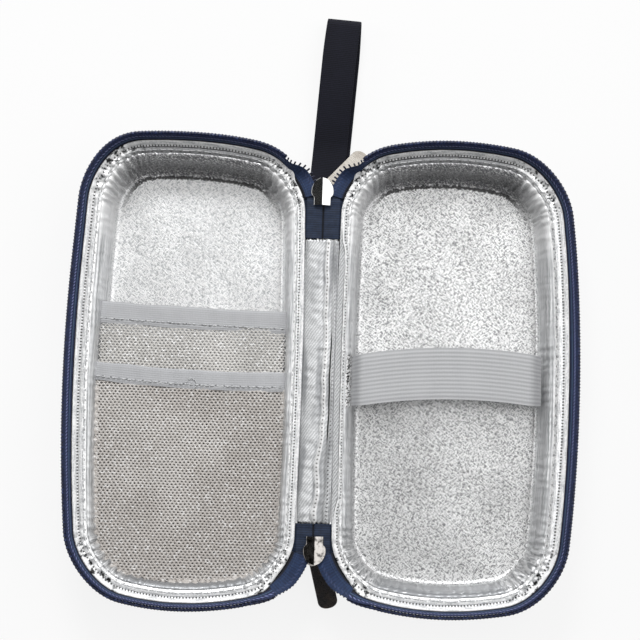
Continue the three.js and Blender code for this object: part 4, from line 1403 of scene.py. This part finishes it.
def band_stitches(name, band_line, offset, z, look):
    share, middle, width = band_line
    shape = Shape()
    half_span = HALF_WIDTH - 7.6
    chance = np.random.default_rng(91)
    for at in np.arange(-0.97, 0.98, 0.055):
        y = float(np.interp(at, share, middle)) - width / 2 + offset + chance.normal(0, 0.08)
        x = LID_X + at * half_span
        shape.tube([(x + aside, y, z + rise) for aside, rise in STITCH_ARCH], 0.22, 6, (0, 0, 1))
    return fixed(shape.object(name, look), "lid", "grey_binding")


def elastic(look):
    """The ribbed elastic across the base, bowed towards its top and tucked under the lip."""
    half_span, width = 41.3, 22.5
    share = np.linspace(-1, 1, round(140 / COARSE))
    across = np.linspace(0, 1, round(164 / COARSE))
    column = share[:, None]
    middle = 3.5 * (1 - column**2) + 1.2 * column - 1.5
    pinch = 1 - 0.05 * (1 - smooth((1 - np.abs(column)) * 7))
    ribs = 0.03 * np.cos(across * 2 * math.pi * 13)
    dip = 0.9 * (1 - smooth((1 - np.abs(column)) * 10))
    wave = 0.10 * ripple(column * 41, across * 2, 101, 8, 40, 10, 84)
    z = 18.65 + ribs - dip + wave - 0.2 * np.abs(across * 2 - 1) ** 8
    face = spread(column * half_span, middle + (across - 0.5) * width * pinch, z)
    made = slab("elastic_band", face, 0.75, share * half_span, across * width, width, look, 70)
    return fixed(made, "base", "grey_elastic", "elastic_strap")


# The points that the loose thread over the front pocket bends round
LOOSE_THREAD = (
    (-112.5, -5.5, 19.4), (-111.5, -3.5, 19.6), (-109, -3.8, 19.5),
    (-107.5, -6.5, 19.3), (-109.5, -8.2, 19.1),
)


def loose_thread(look):
    path = resampled(chaikin(LOOSE_THREAD, 3), 60)
    made = Shape().tube(path, 0.16, 6, (0.1, 0.2, 1)).object("pocket_thread", look)
    return fixed(made, "lid", "grey_binding")


# Floor, light and camera

# The share of the floor's look that is plain white. The rest is matte, and keeps the object's shadow.
FLOOR_GLOW = 0.86


def stage():
    size = 3.0
    corners = [(x * size, y * size, 0) for x, y in ((-1, -1), (1, -1), (1, 1), (-1, 1))]
    mesh = bpy.data.meshes.new("table")
    mesh.from_pydata(corners, [], [[0, 1, 2, 3]])
    table = in_scene("table", mesh)
    table.location.z = -0.0002
    look = Look("table_white")
    path = look.add("ShaderNodeLightPath").outputs
    seen = look.most(look.most(path["Is Camera Ray"], path["Is Glossy Ray"]), path["Is Transmission Ray"])
    matte = look.add("ShaderNodeBsdfDiffuse", {"Color": (0.8, 0.8, 0.8, 1)}).outputs[0]
    plain = look.add("ShaderNodeEmission", {"Color": (1, 1, 1, 1), "Strength": 1.0}).outputs[0]
    both = look.add("ShaderNodeMixShader", {0: seen * FLOOR_GLOW, 1: matte, 2: plain})
    look.add("ShaderNodeOutputMaterial", {"Surface": both.outputs[0]})
    mesh.materials.append(look.owner)


def lamp(name, place, target, size, watts):
    light = bpy.data.lights.new(name, "AREA")
    light.shape = "DISK"
    light.size = size
    light.energy = watts
    made = in_scene(name, light)
    made.location = place
    made.rotation_euler = (Vector(target) - Vector(place)).to_track_quat("-Z", "Y").to_euler()


# The studio's brightness by direction: pairs of how far a direction leans along the axis, and its level
ACROSS_LIGHT = (
    (-1.0, 1.0), (1.0, 0.75), (-0.9, 0.9), (-0.8, 0.02),
    (-0.42, 0.02), (-0.32, 0.95), (0.0, 1.0), (0.7, 1.0),
)
ALONG_LIGHT = ((-1.0, 0.08), (1.0, 1.0), (-0.45, 0.2), (-0.15, 0.85), (0.3, 1.0))


def lights():
    centre = (-0.055, 0.0, 0.02)
    lamp("key", (-0.2, 0.95, 0.85), centre, 0.5, 9.0)
    lamp("fill_left", (-1.2, 0.2, 0.7), centre, 0.6, 2.5)
    lamp("fill_right", (0.62, 0.22, 1.0), centre, 1.1, 3.0)
    look = Look("studio", of_world=True)
    bpy.context.scene.world = look.owner
    across, along = look.parts(look.add("ShaderNodeTexCoord").outputs["Generated"])[:2]
    levels = look.mix(1.0, look.levels(across, ACROSS_LIGHT), look.levels(along, ALONG_LIGHT), "MULTIPLY")
    studio = look.add("ShaderNodeBackground", {"Color": levels, "Strength": 0.8}).outputs[0]
    white = look.add("ShaderNodeBackground", {"Color": (1, 1, 1, 1)}).outputs[0]
    seen = look.add("ShaderNodeLightPath").outputs["Is Camera Ray"]
    both = look.add("ShaderNodeMixShader", {0: seen, 1: studio, 2: white})
    look.add("ShaderNodeOutputWorld", {"Surface": both.outputs[0]})


def camera():
    """Seen from above, nearly straight down, with the picture turned a little."""
    target = Vector((-55.45, 22.86, 25.0)) * MM
    tilt, roll, distance = math.radians(83.5), math.radians(1.82), 0.7
    ahead = Vector((0, math.cos(tilt), -math.sin(tilt)))
    right = Vector((1, 0, 0))
    up = Vector((0, math.sin(tilt), math.cos(tilt)))
    x = right * math.cos(roll) + up * math.sin(roll)
    y = up * math.cos(roll) - right * math.sin(roll)
    data = bpy.data.cameras.new("camera")
    data.lens, data.sensor_width = 91.35, 36
    data.clip_start = 0.01
    made = in_scene("camera", data)
    turn = Matrix((x, y, -ahead)).transposed().to_4x4()
    made.matrix_world = Matrix.Translation(target - ahead * distance) @ turn
    bpy.context.scene.camera = made


def build():
    navy = cloth_look("navy_cloth", "0c1530", "223762", 0.8)
    foil = {
        "base": foil_look("base_foil", "858688", "fdfdfd", 0.12),
        "lid": foil_look("lid_foil", "bcbec0", "fbfbfb", 0.04),
    }
    rim_foil = rim_look("rim_foil")
    twill = twill_look("spine_foil", 0.9, 38)
    tape = tape_look("zipper_tape", "0e142f", "212f56", 2.5, 0.6)
    web_tape = tape_look("web_tape", "101c39", "23395f", 0.9, 0.08)
    chain = chain_look("chain_tape")
    nylon = coil_look("zipper_teeth", "111a38", "2e3c68")
    dark_nylon = coil_look("web_teeth", "10122a", "262a4c")
    foam_grey = foam_look("foam")
    net_front = net_look("front_net", "a8a29d", "cbc6c1", 0.4)
    net_rear = net_look("rear_net", "b2afab", "d3d1cd", 0.6)
    ribbon = ribbed_look("pocket_ribbon", "a7a8aa", "c0c1c4", 0.95, True, 0.08, 0.6, 0.3, 1.9)
    stretch = ribbed_look("elastic", "aeafb1", "c2c3c5", 1.73, True, 0.025, 0.6, 0.3, tucked=40.0)
    strap = ribbed_look("strap", "06070b", "1a1b28", 0.85, False, 0.1, 0.85, 0.4)
    nickel = metal_look("nickel", "f4f4f4", "dcdddf", 0.08, 0.16)
    worn_nickel = metal_look("worn_nickel", "b8b4b0", "3a3836", 0.1, 0.2, spots=2.2)
    black = metal_look("black_nickel", "454344", "645a53", 0.22, 0.38, 0.5)
    # A beige tint in the top pull's nickel, a painted reflection of warm light.
    warm_reflection_nickel = metal_look("nickel_with_warm_reflection", "dcd6cd", "c0b8ae", 0.2, 0.36, 0.7)
    thread = thread_look("thread", "eceded")
    for half in HALVES:
        outer_shell(half, navy)
        shell_welt(half, navy)
        foam(half, foam_grey)
        liner(half, foil[half])
        rim_roll(half, rim_foil)
        lip_stitches(half, thread)
        zipper_tape(half, tape)
        zipper_coil(half, nylon)
        for end in ("top", "bottom"):
            web(half, end, web_tape, dark_nylon)
    spine_lining(twill)
    spine_cloth(navy)
    closed_chain("top", 58.8, 79.8, 15, chain, nylon)
    closed_chain("bottom", -79.8, -64.1, 9.5, chain, nylon)
    slider("top", TOP_SLIDER_Y, False, nickel)
    slider("bottom", BOTTOM_SLIDER_Y, True, worn_nickel)
    pull("top", TOP_SLIDER_Y, -39, 25, 0.0, warm_reflection_nickel)
    pull("bottom", BOTTOM_SLIDER_Y, 194, 35, -1.8, black)
    webbing(strap)
    strap_tab(strap)
    front_pocket = pocket_outline(7.3, -91.4, -5.0)
    rear_pocket = pocket_outline(7.6, -91.2, 19.5)
    net("front_net", "front_pocket_mesh", front_pocket, front_height, net_front)
    net("rear_net", "rear_pocket_mesh", rear_pocket, rear_height, net_rear)
    net_hem("front_net_hem", 7.2, -92.0, -5.0, 18.2, 5, net_front)
    rear_line = band("rear_band", "rear_pocket_binding", 18.6, 28.0, 16.4, 7.6, 1.3, 0.4, 111, ribbon)
    front_line = band("front_band", "front_pocket_binding", -6.8, 1.4, 18.35, 7.2, 1.3, 1.3, 115, ribbon)
    band_stitches("rear_band_stitches", rear_line, 2.0, 16.45, thread)
    band_stitches("front_band_stitches", front_line, 1.7, 18.4, thread)
    elastic(stretch)
    loose_thread(thread)


build()
stage()
lights()
camera()
bpy.context.scene.view_settings.view_transform = "Standard"
